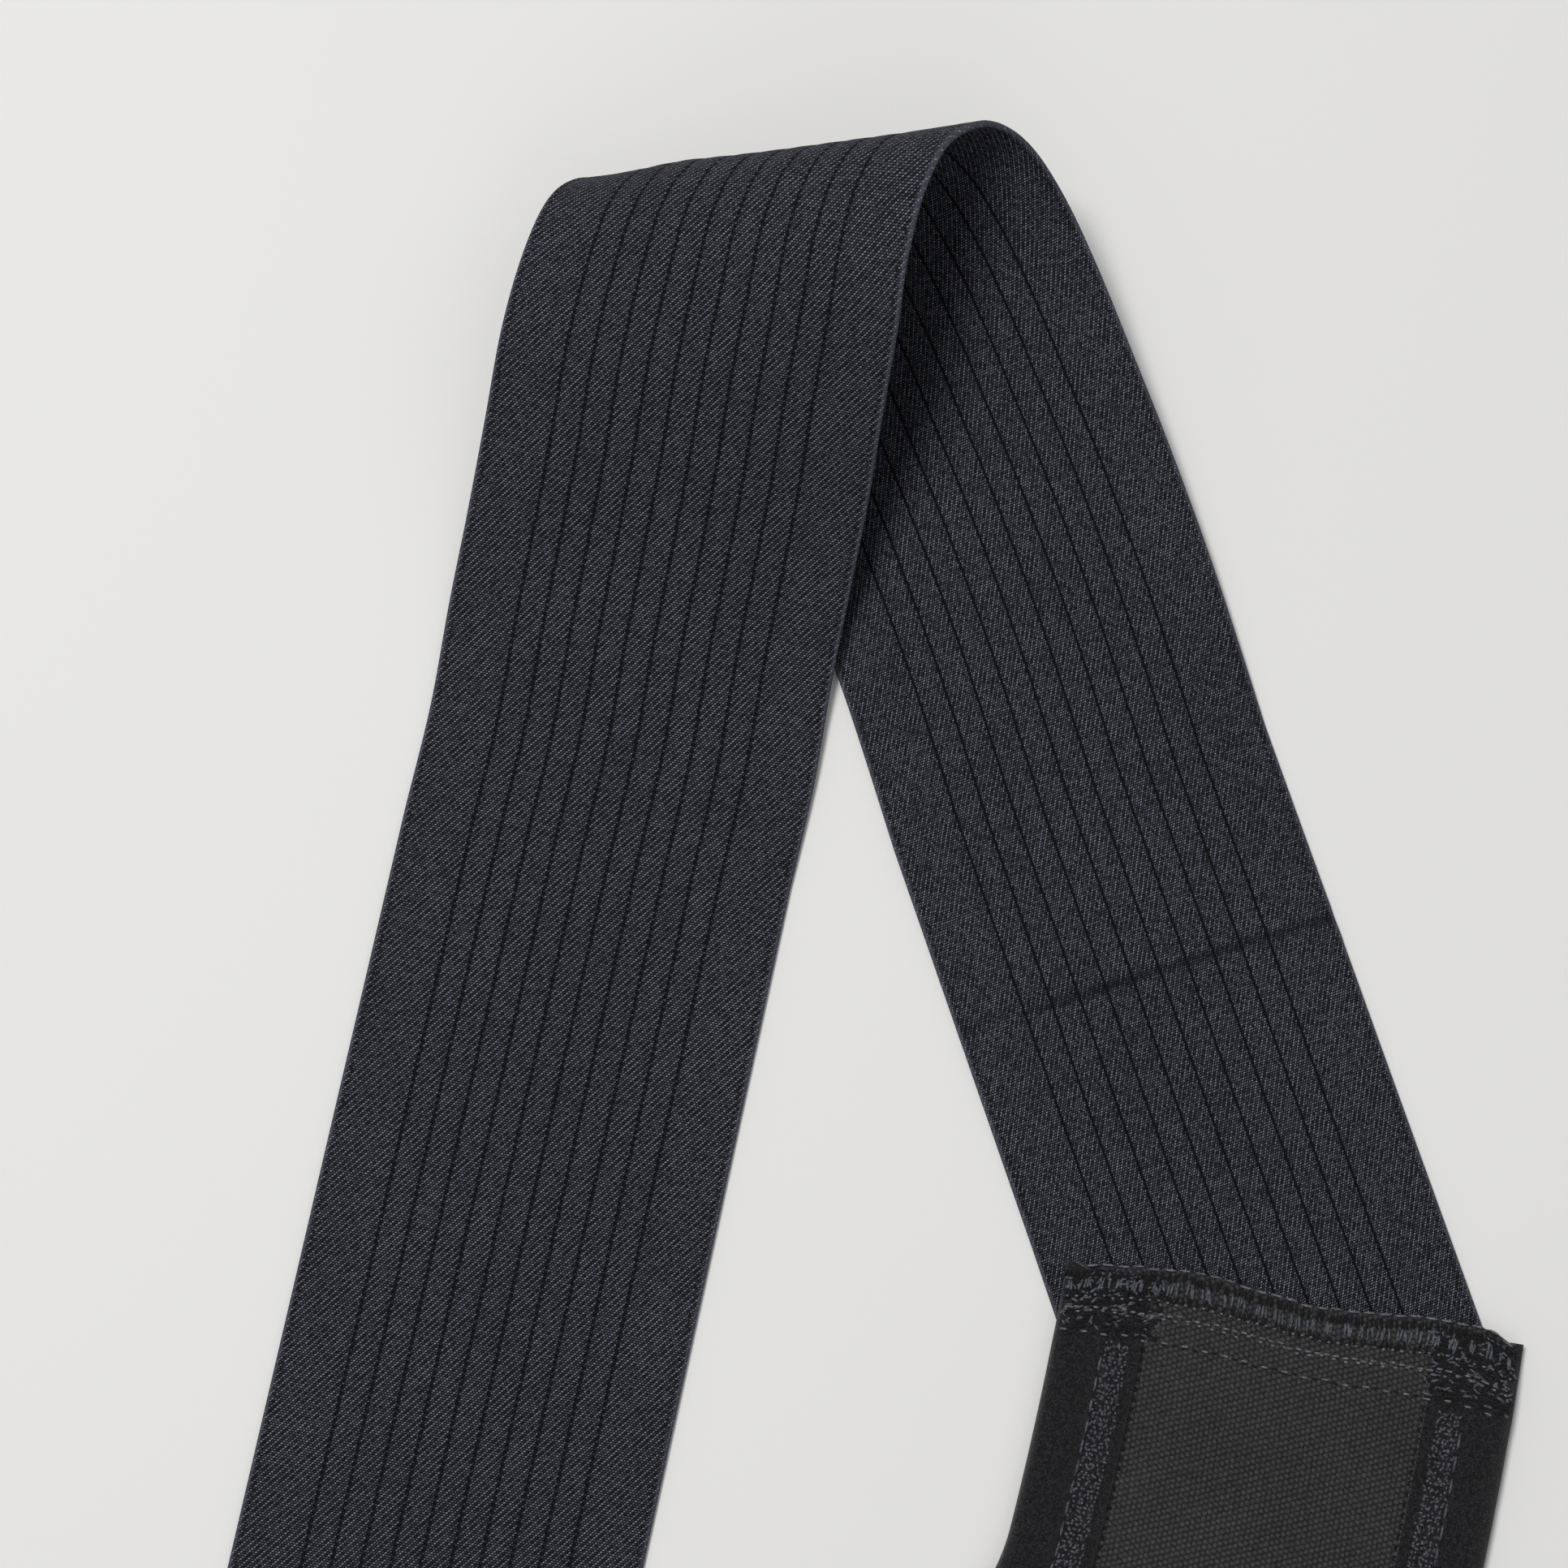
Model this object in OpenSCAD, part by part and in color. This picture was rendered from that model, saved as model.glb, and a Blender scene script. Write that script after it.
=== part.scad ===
// Lumbar support belt laid on a flat surface, its long elastic strap folded back over itself.
// Units are millimetres. +Z is up, Z = 0 is the surface, and the origin is the middle of the
// back panel's lining, at the wearer's spine. The belt is a shallow crescent in plan.

/* [Strap] */
// Width of the ribbed elastic strap
strap_w = 75; // [70:0.5:78]
// Thickness of the ribbed elastic
strap_t = 1.4; // [1:0.1:1.6]
// Length of the strap's straight end, from the fold's foot to the hook tab
strap_tail = 150; // [120:5:158]

/* [Back panel and wings] */
// Radius of the crescent that the panel follows
crescent_r = 700; // [690:5:710]
// Length of the back panel, between the wing hinges
back_len = 150; // [130:2:156]
// Length from the spine to the strap's seam, along the crescent
panel_half_len = 174; // [173:0.5:175]
// Reach of the panel from the crescent line to the concave edge, at the spine
inner_mid = 66; // [56:1:70]
// Reach to the concave edge at the seams
inner_end = 36; // [34:1:38]
// Reach to the convex edge, at the spine
outer_mid = 84; // [74:1:90]
// Reach to the convex edge at the seams
outer_end = 50; // [48:1:54]
// Width of the edge binding
binding_w = 16.5; // [12:0.5:18]

/* [Stays] */
// Width of a stay's pocket
pocket_w = 18; // [16:0.5:20]
// Width of a stay
stay_w = 10; // [8:0.5:11]

/* [Fastening tabs] */
// Length of the hook tab
hook_tab_len = 68; // [60:1:70]
// Length of the landing tab
landing_len = 110; // [90:1:120]
// Margin between a fastener patch and the edges of its tab
patch_margin = 7; // [5:0.5:10]

/* [Hidden] */

elastic_colour = [0.19, 0.19, 0.22];
mesh_colour = [0.18, 0.18, 0.18];
binding_colour = [0.13, 0.13, 0.14];
lining_colour = [0.10, 0.10, 0.11];
core_colour = [0.30, 0.30, 0.32];
thread_colour = [0.28, 0.28, 0.31];
steel_colour = [0.62, 0.63, 0.65];
hook_colour = [0.08, 0.08, 0.09];

gap = 0.4;            // between pieces on different bodies
panel_turn = -24.74;  // from +X to the line across the panel at the spine
hinge_u = back_len / 2;
flare_from = 35;      // the panel is widest up to here, measured from the spine
flare_to = 120;       // and has its end width from here on
overlap_len = 14.5;   // the wing's layers are open this far in from the seam
sewn_len = 13.1;      // the strap's end goes in this far, just short of the lining
outline_steps = 18;

// Heights of the panel's layers
binding_skin = 0.8;
lining_top = 1.4;
core_top = 3.0;
mesh_top = 3.6;
panel_top = mesh_top + binding_skin;
thread_h = 0.5;
thread_w = 1.2;

pocket_skin = 0.5;
pocket_h = 2.6;
pocket_end = 22;      // from a pocket's end to the panel's edge
pocket_wall = 2;      // closed end of a pocket
stay_t = 1.0;
stay_us = [-56, -20, 20, 56];

hook_tab_t = 2.2;
patch_t = 1.4;
tab_corner_r = 12;
stitch_margin = 3.5;  // from a patch's edge to its stitches

// The strap's seam is the wing's end: its turn, its middle, and its length across the strap
seam_yaw = panel_turn + 180 / PI * panel_half_len / crescent_r;
seam_mid = crescent_r * [cos(seam_yaw) - cos(panel_turn), sin(seam_yaw) - sin(panel_turn)];
leg_yaw = 18.4;       // turn of the strap's cross line where it leaves the seam
seam_w = strap_w / cos(leg_yaw - seam_yaw);

// The strap's centreline and cross line: x, y, z of the middle, then the turn of the
// cross line about Z and its tilt, both in degrees. It lies flat, loops over and comes back.
route = [
    [20.5, 260, 0.7, 19, 0],
    [11.5, 288.5, 2.1, 20, 2],
    [3, 312, 3.8, 21, 4.5],
    [-4.5, 330.5, 6, 21.5, 7.5],
    [-10, 343.5, 8.2, 22, 11],
    [-16, 356, 11.2, 21.5, 16],
    [-22.5, 366, 16, 18.5, 23.5],
    [-29, 372, 20.7, 11, 31.5],
    [-35.5, 374, 25.8, -2.5, 36],
    [-41.5, 370.5, 31, -14, 31],
    [-46.5, 361.5, 33.4, -18.5, 22],
    [-50, 349.5, 31.2, -17.5, 14],
    [-53.5, 335.5, 24.4, -15.5, 8],
    [-56.5, 320.5, 15.5, -13.5, 4.5],
    [-60, 304.5, 7.6, -12.5, 2.5],
    [-63.5, 288, 3, -12, 1],
    [-67, 268, 1.2, -12, 0.5],
    [-71.5, 248.5, 0.7, -12.2, 0]
];
loop_from = 6;        // stations of the route between which the loop bends
loop_to = 11;
route_end = len(route) - 1;
steps = 3;            // sections between two stations
across = [-1, -0.6, -0.2, 0.2, 0.6, 1];
split = gap / 26;     // half the gap at the loop's end, in stations

function smooth(t) = t * t * (3 - 2 * t);
function flare(u) = smooth(max(0, min(1, (flare_to - abs(u)) / (flare_to - flare_from))));
function inner_reach(u) = inner_end + (inner_mid - inner_end) * flare(u);
function outer_reach(u) = outer_end + (outer_mid - outer_end) * flare(u);

// A point of the panel: u along the crescent from the spine, r outwards from it
function on_panel(u, r) =
    let (a = 180 / PI * u / crescent_r)
    [(crescent_r + r) * cos(a) - crescent_r, (crescent_r + r) * sin(a)];

// Outline of a stretch of the panel, from u0 to u1, drawn in by inset from both edges
function stretch(u0, u1, inset) = concat(
    [for (i = [0 : outline_steps])
        let (u = u0 + (u1 - u0) * i / outline_steps) on_panel(u, -inner_reach(u) + inset)],
    [for (i = [outline_steps : -1 : 0])
        let (u = u0 + (u1 - u0) * i / outline_steps) on_panel(u, outer_reach(u) - inset)]
);

// Outline of a band along one edge. side is -1 on the concave edge and 1 on the convex one.
function edge_band(u0, u1, from, to, side) =
    let (us = [for (i = [0 : outline_steps]) u0 + (u1 - u0) * i / outline_steps])
    let (reach = [for (u = us) side < 0 ? inner_reach(u) : outer_reach(u)])
    concat(
        [for (i = [0 : outline_steps]) on_panel(us[i], side * (reach[i] - from))],
        [for (i = [outline_steps : -1 : 0]) on_panel(us[i], side * (reach[i] - to))]
    );

module slab(outline, z0, z1) {
    translate([0, 0, z0]) linear_extrude(z1 - z0) polygon(outline);
}

// The panel is drawn about the line across it at the spine
module placed() {
    rotate([0, 0, panel_turn]) children();
}

// What belongs to the tab's end is the mirror image of the strap's end
module mirrored() {
    rotate([0, 0, panel_turn]) mirror([0, 1, 0]) rotate([0, 0, -panel_turn]) children();
}

module lining(u0, u1) {
    color(lining_colour) placed() {
        slab(stretch(u0, u1, binding_w), 0, binding_skin);
        slab(stretch(u0, u1, 1), binding_skin, lining_top);
    }
}

module core(u0, u1) {
    color(core_colour) placed() slab(stretch(u0, u1, 1), lining_top, core_top);
}

module outer_mesh(u0, u1) {
    color(mesh_colour) placed() slab(stretch(u0, u1, 1), core_top, mesh_top);
}

// The edge binding wraps the panel's edge: a strip below, a strip above and the turned edge
module binding(u0, u1, side) {
    color(binding_colour) placed() {
        slab(edge_band(u0, u1, 0, binding_w, side), 0, binding_skin);
        slab(edge_band(u0, u1, 0, binding_w, side), mesh_top, panel_top);
        slab(edge_band(u0, u1, 0, 1, side), binding_skin, mesh_top);
    }
}

// Turns a stay or its pocket to its place across the panel
module across_panel(u) {
    a = 180 / PI * u / crescent_r;
    middle = (outer_reach(u) - inner_reach(u)) / 2;
    placed() translate([-crescent_r, 0, mesh_top]) rotate([0, 0, a])
        translate([crescent_r + middle, 0, 0]) children();
}

function pocket_len(u) = inner_reach(u) + outer_reach(u) - 2 * pocket_end;
// A stay's length without its caps, which have a little room in the pocket
function stay_len(u) = pocket_len(u) - 2 * pocket_wall - stay_w - 1;

module stay_pocket(u) {
    length = pocket_len(u);
    color(elastic_colour) across_panel(u) difference() {
        translate([-length / 2, -pocket_w / 2, 0]) cube([length, pocket_w, pocket_h]);
        translate([pocket_wall - length / 2, -stay_w / 2 - 0.6, -1])
            cube([length - 2 * pocket_wall, stay_w + 1.2, pocket_h - pocket_skin + 1]);
    }
}

module stay(u) {
    color(steel_colour) across_panel(u)
        translate([-stay_len(u) / 2, -stay_w / 2, 0.5]) cube([stay_len(u), stay_w, stay_t]);
}

// A moulded cap closes each end of a stay
module stay_caps() {
    color(hook_colour)
        for (u = stay_us)
            for (end = [-1, 1])
                across_panel(u) translate([end * stay_len(u) / 2, 0, 0.5]) intersection() {
                    cylinder(h = stay_t, r = stay_w / 2);
                    translate([end > 0 ? 0 : -stay_w, -stay_w / 2, 0])
                        cube([stay_w, stay_w, stay_t]);
                }
}

// Point at distance along and across from the middle of the strap's seam
function seam_point(along, across) =
    seam_mid + along * [-sin(leg_yaw), cos(leg_yaw)] / cos(leg_yaw - seam_yaw)
             + across * [cos(seam_yaw), sin(seam_yaw)];

// The end of a strap or tab that goes in under a wing
module sewn_end() {
    half = seam_w / 2;
    color(elastic_colour) slab([
        seam_point(-gap / 2, -half), seam_point(-gap / 2, half),
        seam_point(-sewn_len, half), seam_point(-sewn_len, -half)
    ], 0, lining_top);
}

// Three rows of stitches hold the wing on the sewn end
module seam_stitching() {
    half = (inner_end + outer_end) / 2 - 3;
    middle = (outer_end - inner_end) / 2;
    color(thread_colour) placed()
        for (u = [1.2, 9, 13.6])
            slab([for (p = [[0, -1], [0, 1], [thread_w, 1], [thread_w, -1]])
                on_panel(panel_half_len - u - p[0] + gap, middle + half * p[1])],
                mesh_top, mesh_top + thread_h);
}

function mix(a, b, t) = a + (b - a) * t;

// Smooth curve through the route's stations, at t stations from its start
function curve(p0, p1, p2, p3, t) =
    p1 + t * ((p2 - p0) / 2 + t * (p0 - 2.5 * p1 + 2 * p2 - p3 / 2
        + t * (1.5 * (p1 - p2) + (p3 - p0) / 2)));
function station(t) =
    let (i = max(0, min(route_end - 1, floor(t))))
    curve(route[max(0, i - 1)], route[i], route[i + 1], route[min(route_end, i + 2)], t - i);
function middle_of(s) = [s[0], s[1], s[2]];
function cross_of(s) = [cos(s[4]) * cos(s[3]), cos(s[4]) * sin(s[3]), sin(s[4])];
function unit(v) = v / norm(v);
// A point on the strap's middle surface, t stations along and v across, from -1 to 1
function on_strap(t, v) =
    let (s = station(t)) middle_of(s) + v * cross_of(s) * strap_w / 2;

// Half the strap's thickness, square to the strap
function half_up(t, v) = strap_t / 2 * unit(cross(cross_of(station(t)),
    on_strap(t + 0.05, v) - on_strap(t - 0.05, v)));

// The strap's section at t stations: across on top, then back underneath
function ring(t) = concat(
    [for (v = across) on_strap(t, v) + half_up(t, v)],
    [for (v = across) on_strap(t, -v) - half_up(t, -v)]
);

// A section lying flat on the surface, for the straight ends
function flat_ring(middle, yaw, width, over = 1) =
    let (c = [cos(yaw), sin(yaw)] * width / 2)
    concat(
        [for (v = across) let (p = middle + v * c) [p[0], p[1], over > 0 ? strap_t : 0]],
        [for (v = across) let (p = middle - v * c) [p[0], p[1], over > 0 ? 0 : strap_t]]
    );

// Closed solid through a list of sections
module ribbon(rings) {
    last = len(rings) - 1;
    count = 2 * len(across);
    polyhedron(
        [for (r = rings) for (p = r) p],
        concat(
            [for (k = [0 : len(across) - 2]) for (half = [0, 1])
                let (a = k, b = count - 1 - k)
                half == 0 ? [a, a + 1, b] : [a + 1, b - 1, b]],
            [for (k = [0 : len(across) - 2]) for (half = [0, 1])
                let (a = count * last + k, b = count * last + count - 1 - k)
                half == 0 ? [b, a + 1, a] : [b, b - 1, a + 1]],
            [for (i = [0 : last - 1]) for (k = [0 : count - 1]) for (half = [0, 1])
                let (a = count * i + k, b = count * i + (k + 1) % count)
                half == 0 ? [a, a + count, b] : [b, a + count, b + count]]
        )
    );
}

function rings(t0, t1) =
    let (count = round((t1 - t0) * steps))
    [for (i = [0 : count]) ring(mix(t0, t1, i / count))];

module strap_lower_leg() {
    color(elastic_colour) ribbon(concat(
        [flat_ring(seam_point(gap, 0), seam_yaw, seam_w)],
        [flat_ring([route[0][0], route[0][1]], route[0][3], strap_w)],
        rings(1, loop_from)
    ));
}

module strap_loop() {
    color(elastic_colour) ribbon(rings(loop_from, loop_to - split));
}

tail_yaw = route[route_end][3];
tail_way = [sin(tail_yaw), -cos(tail_yaw)];
route_foot = [route[route_end][0], route[route_end][1]];
tail_tip = route_foot + tail_way * strap_tail;

module strap_upper_leg() {
    color(elastic_colour) ribbon(concat(
        rings(loop_to + split, route_end - 1),
        [flat_ring(route_foot, tail_yaw, strap_w, -1)],
        [flat_ring(tail_tip - tail_way * gap / 2, tail_yaw, strap_w, -1)]
    ));
}

// Puts a tab at the end of the strap: +X across it, +Y towards its tip
module at_tail_tip() {
    translate([tail_tip[0], tail_tip[1], 0]) rotate([0, 0, tail_yaw + 180]) children();
}

// Puts a tab on the mirrored seam: +X across it, +Y towards its tip
module at_landing() {
    mirrored() translate([seam_mid[0], seam_mid[1], 0]) rotate([0, 0, leg_yaw]) children();
}

// Flat outline with square corners at y0 and round ones at y1
module tab_outline(width, y0, y1, corner_r) {
    translate([-width / 2, y0]) square([width, y1 - y0 - corner_r]);
    translate([-width / 2 + corner_r, y0]) square([width - 2 * corner_r, y1 - y0]);
    for (side = [-1, 1])
        translate([side * (width / 2 - corner_r), y1 - corner_r]) circle(r = corner_r);
}

module hook_tab() {
    color(lining_colour) at_tail_tip() linear_extrude(hook_tab_t)
        tab_outline(strap_w, gap / 2, hook_tab_len, tab_corner_r);
}

// A row of stitches round a patch between y0 and y1, pulled in flush with its face
module patch_stitching(y0, y1) {
    width = strap_w - 2 * patch_margin - 2 * stitch_margin;
    start = y0 + stitch_margin;
    length = y1 - y0 - 2 * stitch_margin;
    translate([0, 0, patch_t - thread_h]) linear_extrude(thread_h) difference() {
        translate([-width / 2, start]) square([width, length]);
        translate([-width / 2 + thread_w, start + thread_w])
            square([width - 2 * thread_w, length - 2 * thread_w]);
    }
}

module fastener_patch(y0, y1, corner_r) {
    difference() {
        linear_extrude(patch_t) tab_outline(strap_w - 2 * patch_margin, y0, y1, corner_r);
        patch_stitching(y0, y1);
    }
}

hook_patch_end = hook_tab_len - patch_margin;

module hook_patch() {
    color(hook_colour) at_tail_tip() translate([0, 0, hook_tab_t])
        fastener_patch(patch_margin, hook_patch_end, tab_corner_r - patch_margin / 2);
}

module hook_patch_stitching() {
    color(thread_colour) at_tail_tip() translate([0, 0, hook_tab_t])
        patch_stitching(patch_margin, hook_patch_end);
}

hem_len = 9;
landing_from = 34;    // the loop patch starts here, clear of the oblique seam

module landing_tab() {
    skew = strap_w / 2 * tan(leg_yaw - seam_yaw);
    start = gap / cos(leg_yaw - seam_yaw);
    color(elastic_colour) at_landing() linear_extrude(strap_t) polygon([
        [-strap_w / 2, start + skew], [strap_w / 2, start - skew],
        [strap_w / 2, landing_len - hem_len], [-strap_w / 2, landing_len - hem_len]
    ]);
}

// The tab's free end is turned back on itself
module landing_tab_hem() {
    color(elastic_colour) at_landing()
        translate([-strap_w / 2, landing_len - hem_len, 0]) cube([strap_w, hem_len, 2 * strap_t]);
}

loop_patch_end = landing_len - hem_len - 2;

module loop_patch() {
    color(lining_colour) at_landing() translate([0, 0, strap_t])
        fastener_patch(landing_from, loop_patch_end, 4);
}

module loop_patch_stitching() {
    color(thread_colour) at_landing() translate([0, 0, strap_t])
        patch_stitching(landing_from, loop_patch_end);
}

half_gap = gap / 2;
wing_open = panel_half_len - overlap_len;
back_end = hinge_u - half_gap;
wing_start = hinge_u + half_gap;

lining(-back_end, back_end);  // back_lining
core(-back_end, back_end);  // back_core
outer_mesh(-back_end, back_end);  // back_mesh
binding(-back_end, back_end, -1);  // back_binding_inner
binding(-back_end, back_end, 1);  // back_binding_outer
stay_pocket(stay_us[0]);  // stay_pocket_1
stay_pocket(stay_us[1]);  // stay_pocket_2
stay_pocket(stay_us[2]);  // stay_pocket_3
stay_pocket(stay_us[3]);  // stay_pocket_4
stay(stay_us[0]);  // stay_1
stay(stay_us[1]);  // stay_2
stay(stay_us[2]);  // stay_3
stay(stay_us[3]);  // stay_4
stay_caps();
lining(wing_start, wing_open);  // strap_wing_lining
core(wing_start, panel_half_len);  // strap_wing_core
outer_mesh(wing_start, panel_half_len);  // strap_wing_mesh
binding(wing_start, wing_open, -1);  // strap_wing_binding_inner
binding(wing_start, wing_open, 1);  // strap_wing_binding_outer
sewn_end();  // strap_sewn_end
seam_stitching();  // strap_seam_stitching
mirrored() lining(wing_start, wing_open);  // tab_wing_lining
mirrored() core(wing_start, panel_half_len);  // tab_wing_core
mirrored() outer_mesh(wing_start, panel_half_len);  // tab_wing_mesh
mirrored() binding(wing_start, wing_open, -1);  // tab_wing_binding_inner
mirrored() binding(wing_start, wing_open, 1);  // tab_wing_binding_outer
mirrored() sewn_end();  // tab_sewn_end
mirrored() seam_stitching();  // tab_seam_stitching
strap_lower_leg();
strap_loop();
strap_upper_leg();
hook_tab();
hook_patch();
hook_patch_stitching();
landing_tab();
landing_tab_hem();
loop_patch();
loop_patch_stitching();
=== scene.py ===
"""Lumbar support belt: the looks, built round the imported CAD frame."""

import math

import bpy
import numpy as np
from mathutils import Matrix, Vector


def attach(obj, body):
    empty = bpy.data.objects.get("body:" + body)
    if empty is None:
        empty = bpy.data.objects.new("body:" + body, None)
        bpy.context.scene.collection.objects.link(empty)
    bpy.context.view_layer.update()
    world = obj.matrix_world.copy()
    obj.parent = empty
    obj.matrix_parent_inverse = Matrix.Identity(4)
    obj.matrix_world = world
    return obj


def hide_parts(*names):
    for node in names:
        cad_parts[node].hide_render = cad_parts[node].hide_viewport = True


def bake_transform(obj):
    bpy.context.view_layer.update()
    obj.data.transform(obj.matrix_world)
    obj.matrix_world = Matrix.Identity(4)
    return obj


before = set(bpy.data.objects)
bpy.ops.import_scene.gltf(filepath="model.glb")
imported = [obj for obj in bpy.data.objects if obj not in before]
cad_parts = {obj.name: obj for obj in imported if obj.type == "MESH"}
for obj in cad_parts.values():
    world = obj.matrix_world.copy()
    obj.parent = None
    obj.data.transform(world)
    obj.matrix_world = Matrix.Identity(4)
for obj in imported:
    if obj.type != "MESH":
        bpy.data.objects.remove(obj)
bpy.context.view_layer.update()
MM = 0.001

# ------------------------ dimensions, in millimetres
STRAP_W = 75.0
STRAP_T = 1.3
RIB_COUNT = 10
RIB_MARGIN = 13.3
RIB_PITCH = (STRAP_W - 2 * RIB_MARGIN) / (RIB_COUNT - 1)
STRAP_TAIL = 150.0
GROOVE_TOP, GROOVE_UNDER = 0.2, 0.14     # depth of the grooves between ribs
TUCKED = 13.0        # the strap's end goes in this far under the wing
CLEAR = 0.02         # between a flat piece and the surface under it
HOOK_TAB_LEN, HOOK_TAB_T, HOOK_TAB_CORNER = 68.0, 2.2, 12.0
HOOK_BASE_T, HOOK_PATCH_CORNER = 0.55, 8.5
LANDING_LEN = 110.0
HEM_LEN = 9.0
PATCH_MARGIN, PATCH_T = 7.0, 1.4
LOOP_PATCH_FROM, LOOP_PATCH_CORNER = 34.0, 4.0

CRESCENT_R = 700.0
PANEL_HALF = 174.0
HINGE_U = 75.0
PANEL_TURN = math.radians(-24.74)
INNER_MID, INNER_END = 66.0, 36.0
OUTER_MID, OUTER_END = 84.0, 50.0
FLARE_FROM, FLARE_TO = 35.0, 120.0
BINDING_W = 16.5
LINING_TOP, CORE_BASE, CORE_TOP, MESH_TOP = 1.4, 1.43, 3.0, 3.6
PANEL_SPREAD = 118.0     # the panel's columns are counted for this width
OVERLAP = 14.5
PRESS = 1.15         # the seam's stitches press the wing's top down this far
EDGE_ROW, NEAR_ROW, FAR_ROW = 6.2, 9.0, 13.6     # rows of stitches, from the cut edge
TUFT_PITCH = 3.3     # from one tuft of overlocking thread to the next
STAY_US = (20.0, 56.0)
POCKET_W = 18.0
POCKET_END = 22.0
POCKET_ROW = 7.6     # from a pocket's middle to its stitches
STAY_INSET = 7.5     # from a pocket's end to the middle of the stay's round end
STAY_REACH = 5.3     # half the width of the hump's level top, just wider than the stay

SEAM_YAW = PANEL_TURN + PANEL_HALF / CRESCENT_R
LEG_YAW = math.radians(18.4)
SEAM_SKEW = math.tan(LEG_YAW - SEAM_YAW)
SEAM_COS = math.cos(LEG_YAW - SEAM_YAW)
HINGE_HALF = 5       # half the width of a wing's fold

# The strap's route: x, y, z of its middle, the turn of its cross line and its tilt in degrees
ROUTE = [
    [20.5, 260, 0.7, 19, 0],
    [11.5, 288.5, 2.1, 20, 2],
    [3, 312, 3.8, 21, 4.5],
    [-4.5, 330.5, 6, 21.5, 7.5],
    [-10, 343.5, 8.2, 22, 11],
    [-16, 356, 11.2, 21.5, 16],
    [-22.5, 366, 16, 18.5, 23.5],
    [-29, 372, 20.7, 11, 31.5],
    [-35.5, 374, 25.8, -2.5, 36],
    [-41.5, 370.5, 31, -14, 31],
    [-46.5, 361.5, 33.4, -18.5, 22],
    [-50, 349.5, 31.2, -17.5, 14],
    [-53.5, 335.5, 24.4, -15.5, 8],
    [-56.5, 320.5, 15.5, -13.5, 4.5],
    [-60, 304.5, 7.6, -12.5, 2.5],
    [-63.5, 288, 3, -12, 1],
    [-67, 268, 1.2, -12, 0.5],
    [-71.5, 248.5, 0.7, -12.2, 0],
]
LOOP_FROM, LOOP_TO = 6, 11
FLAT_TO = 30.0       # the strap lies quite flat from its sewn end to here
CREASE_AT, CREASE_SKEW = 63.4, 0.03      # soft crease across the lower leg, raised in the mesh and with painted shade along it
LANDING_UV = 200.0   # keeps the landing tab's weave clear of the shade painted along that crease
ROW_STEP = 1.0       # rows of the strap's mesh
END_ROWS = np.array([0.06, 0.3])    # close rows where two pieces meet, so that their shading agrees
TUBE_SIDES = 4
ARCH = np.array([-0.14, 0.06, 0.12, 0.06, -0.14])    # rise of a lock stitch along its length


# ------------------------ small helpers
def smooth(t):
    t = np.clip(t, 0.0, 1.0)
    return t * t * (3 - 2 * t)


def unit(v):
    return v / np.maximum(np.linalg.norm(v, axis=-1, keepdims=True), 1e-12)


def bump(x, centre, half):
    """1 at centre, falling smoothly to 0 at half away from it."""
    return smooth(1 - np.abs(x - centre) / half)


def distances(points):
    """Distance along a path at each of its points."""
    return np.concatenate([[0], np.cumsum(np.linalg.norm(np.diff(points, axis=0), axis=1))])


def evenly(points, count):
    """count points at even distances along a flat path."""
    s = distances(points)
    even = np.linspace(0, s[-1], count)
    return np.stack([np.interp(even, s, points[:, 0]), np.interp(even, s, points[:, 1])], -1)


def ripple(a, b, seed, scale):
    """Slow, smooth unevenness between about -1 and 1, the same each run."""
    rng = np.random.default_rng(seed)
    total = np.zeros(np.broadcast(a, b).shape)
    for _ in range(6):
        ka, kb = rng.normal(size=2) / scale
        total = total + np.sin(ka * a + kb * b + rng.uniform(0, 2 * math.pi))
    return total / 4


def make_mesh(name, points, faces, materials, face_slots=None, uv=None, flat=None):
    """A closed mesh piece from points in millimetres. uv holds millimetres for each point."""
    me = bpy.data.meshes.new(name)
    points = np.asarray(points, float) * MM
    faces = np.asarray(faces, np.int32)
    count, sides = faces.shape
    p = points[faces]
    volume = np.einsum("ij,ij->", p[:, 0], np.cross(p[:, 1], p[:, 2]) + np.cross(p[:, 2], p[:, 3]))
    if volume < 0:
        faces = faces[:, ::-1]
    me.vertices.add(len(points))
    me.vertices.foreach_set("co", points.astype(np.float32).ravel())
    me.loops.add(count * sides)
    me.loops.foreach_set("vertex_index", faces.ravel())
    me.polygons.add(count)
    me.polygons.foreach_set("loop_start", np.arange(0, count * sides, sides, dtype=np.int32))
    me.polygons.foreach_set("loop_total", np.full(count, sides, np.int32))
    me.polygons.foreach_set("use_smooth", np.full(count, True) if flat is None else ~flat)
    if uv is not None:
        layer = me.uv_layers.new(name="cloth")
        layer.data.foreach_set("uv", np.asarray(uv, np.float32)[faces.ravel()].ravel())
    for m in materials:
        me.materials.append(m)
    if face_slots is not None:
        me.polygons.foreach_set("material_index", np.asarray(face_slots, np.int32))
    me.update(calc_edges=True)
    me.validate()
    ob = bpy.data.objects.new(name, me)
    bpy.context.scene.collection.objects.link(ob)
    return ob


def ring_faces(rows, cols):
    """Quads of a tube of rows rings with cols points each, closed round."""
    i, k = np.meshgrid(np.arange(rows - 1), np.arange(cols), indexing="ij")
    a, b = i * cols + k, i * cols + (k + 1) % cols
    return np.stack([a, a + cols, b + cols, b], -1).reshape(-1, 4)


def shell_ends(rows, cols):
    """Closes both ends of a flat tube whose section goes across the top and back underneath."""
    half = cols // 2
    k = np.arange(half - 1)
    first = np.stack([k, k + 1, cols - 2 - k, cols - 1 - k], -1)
    last = first[:, ::-1] + (rows - 1) * cols
    return np.concatenate([first, last])


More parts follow.
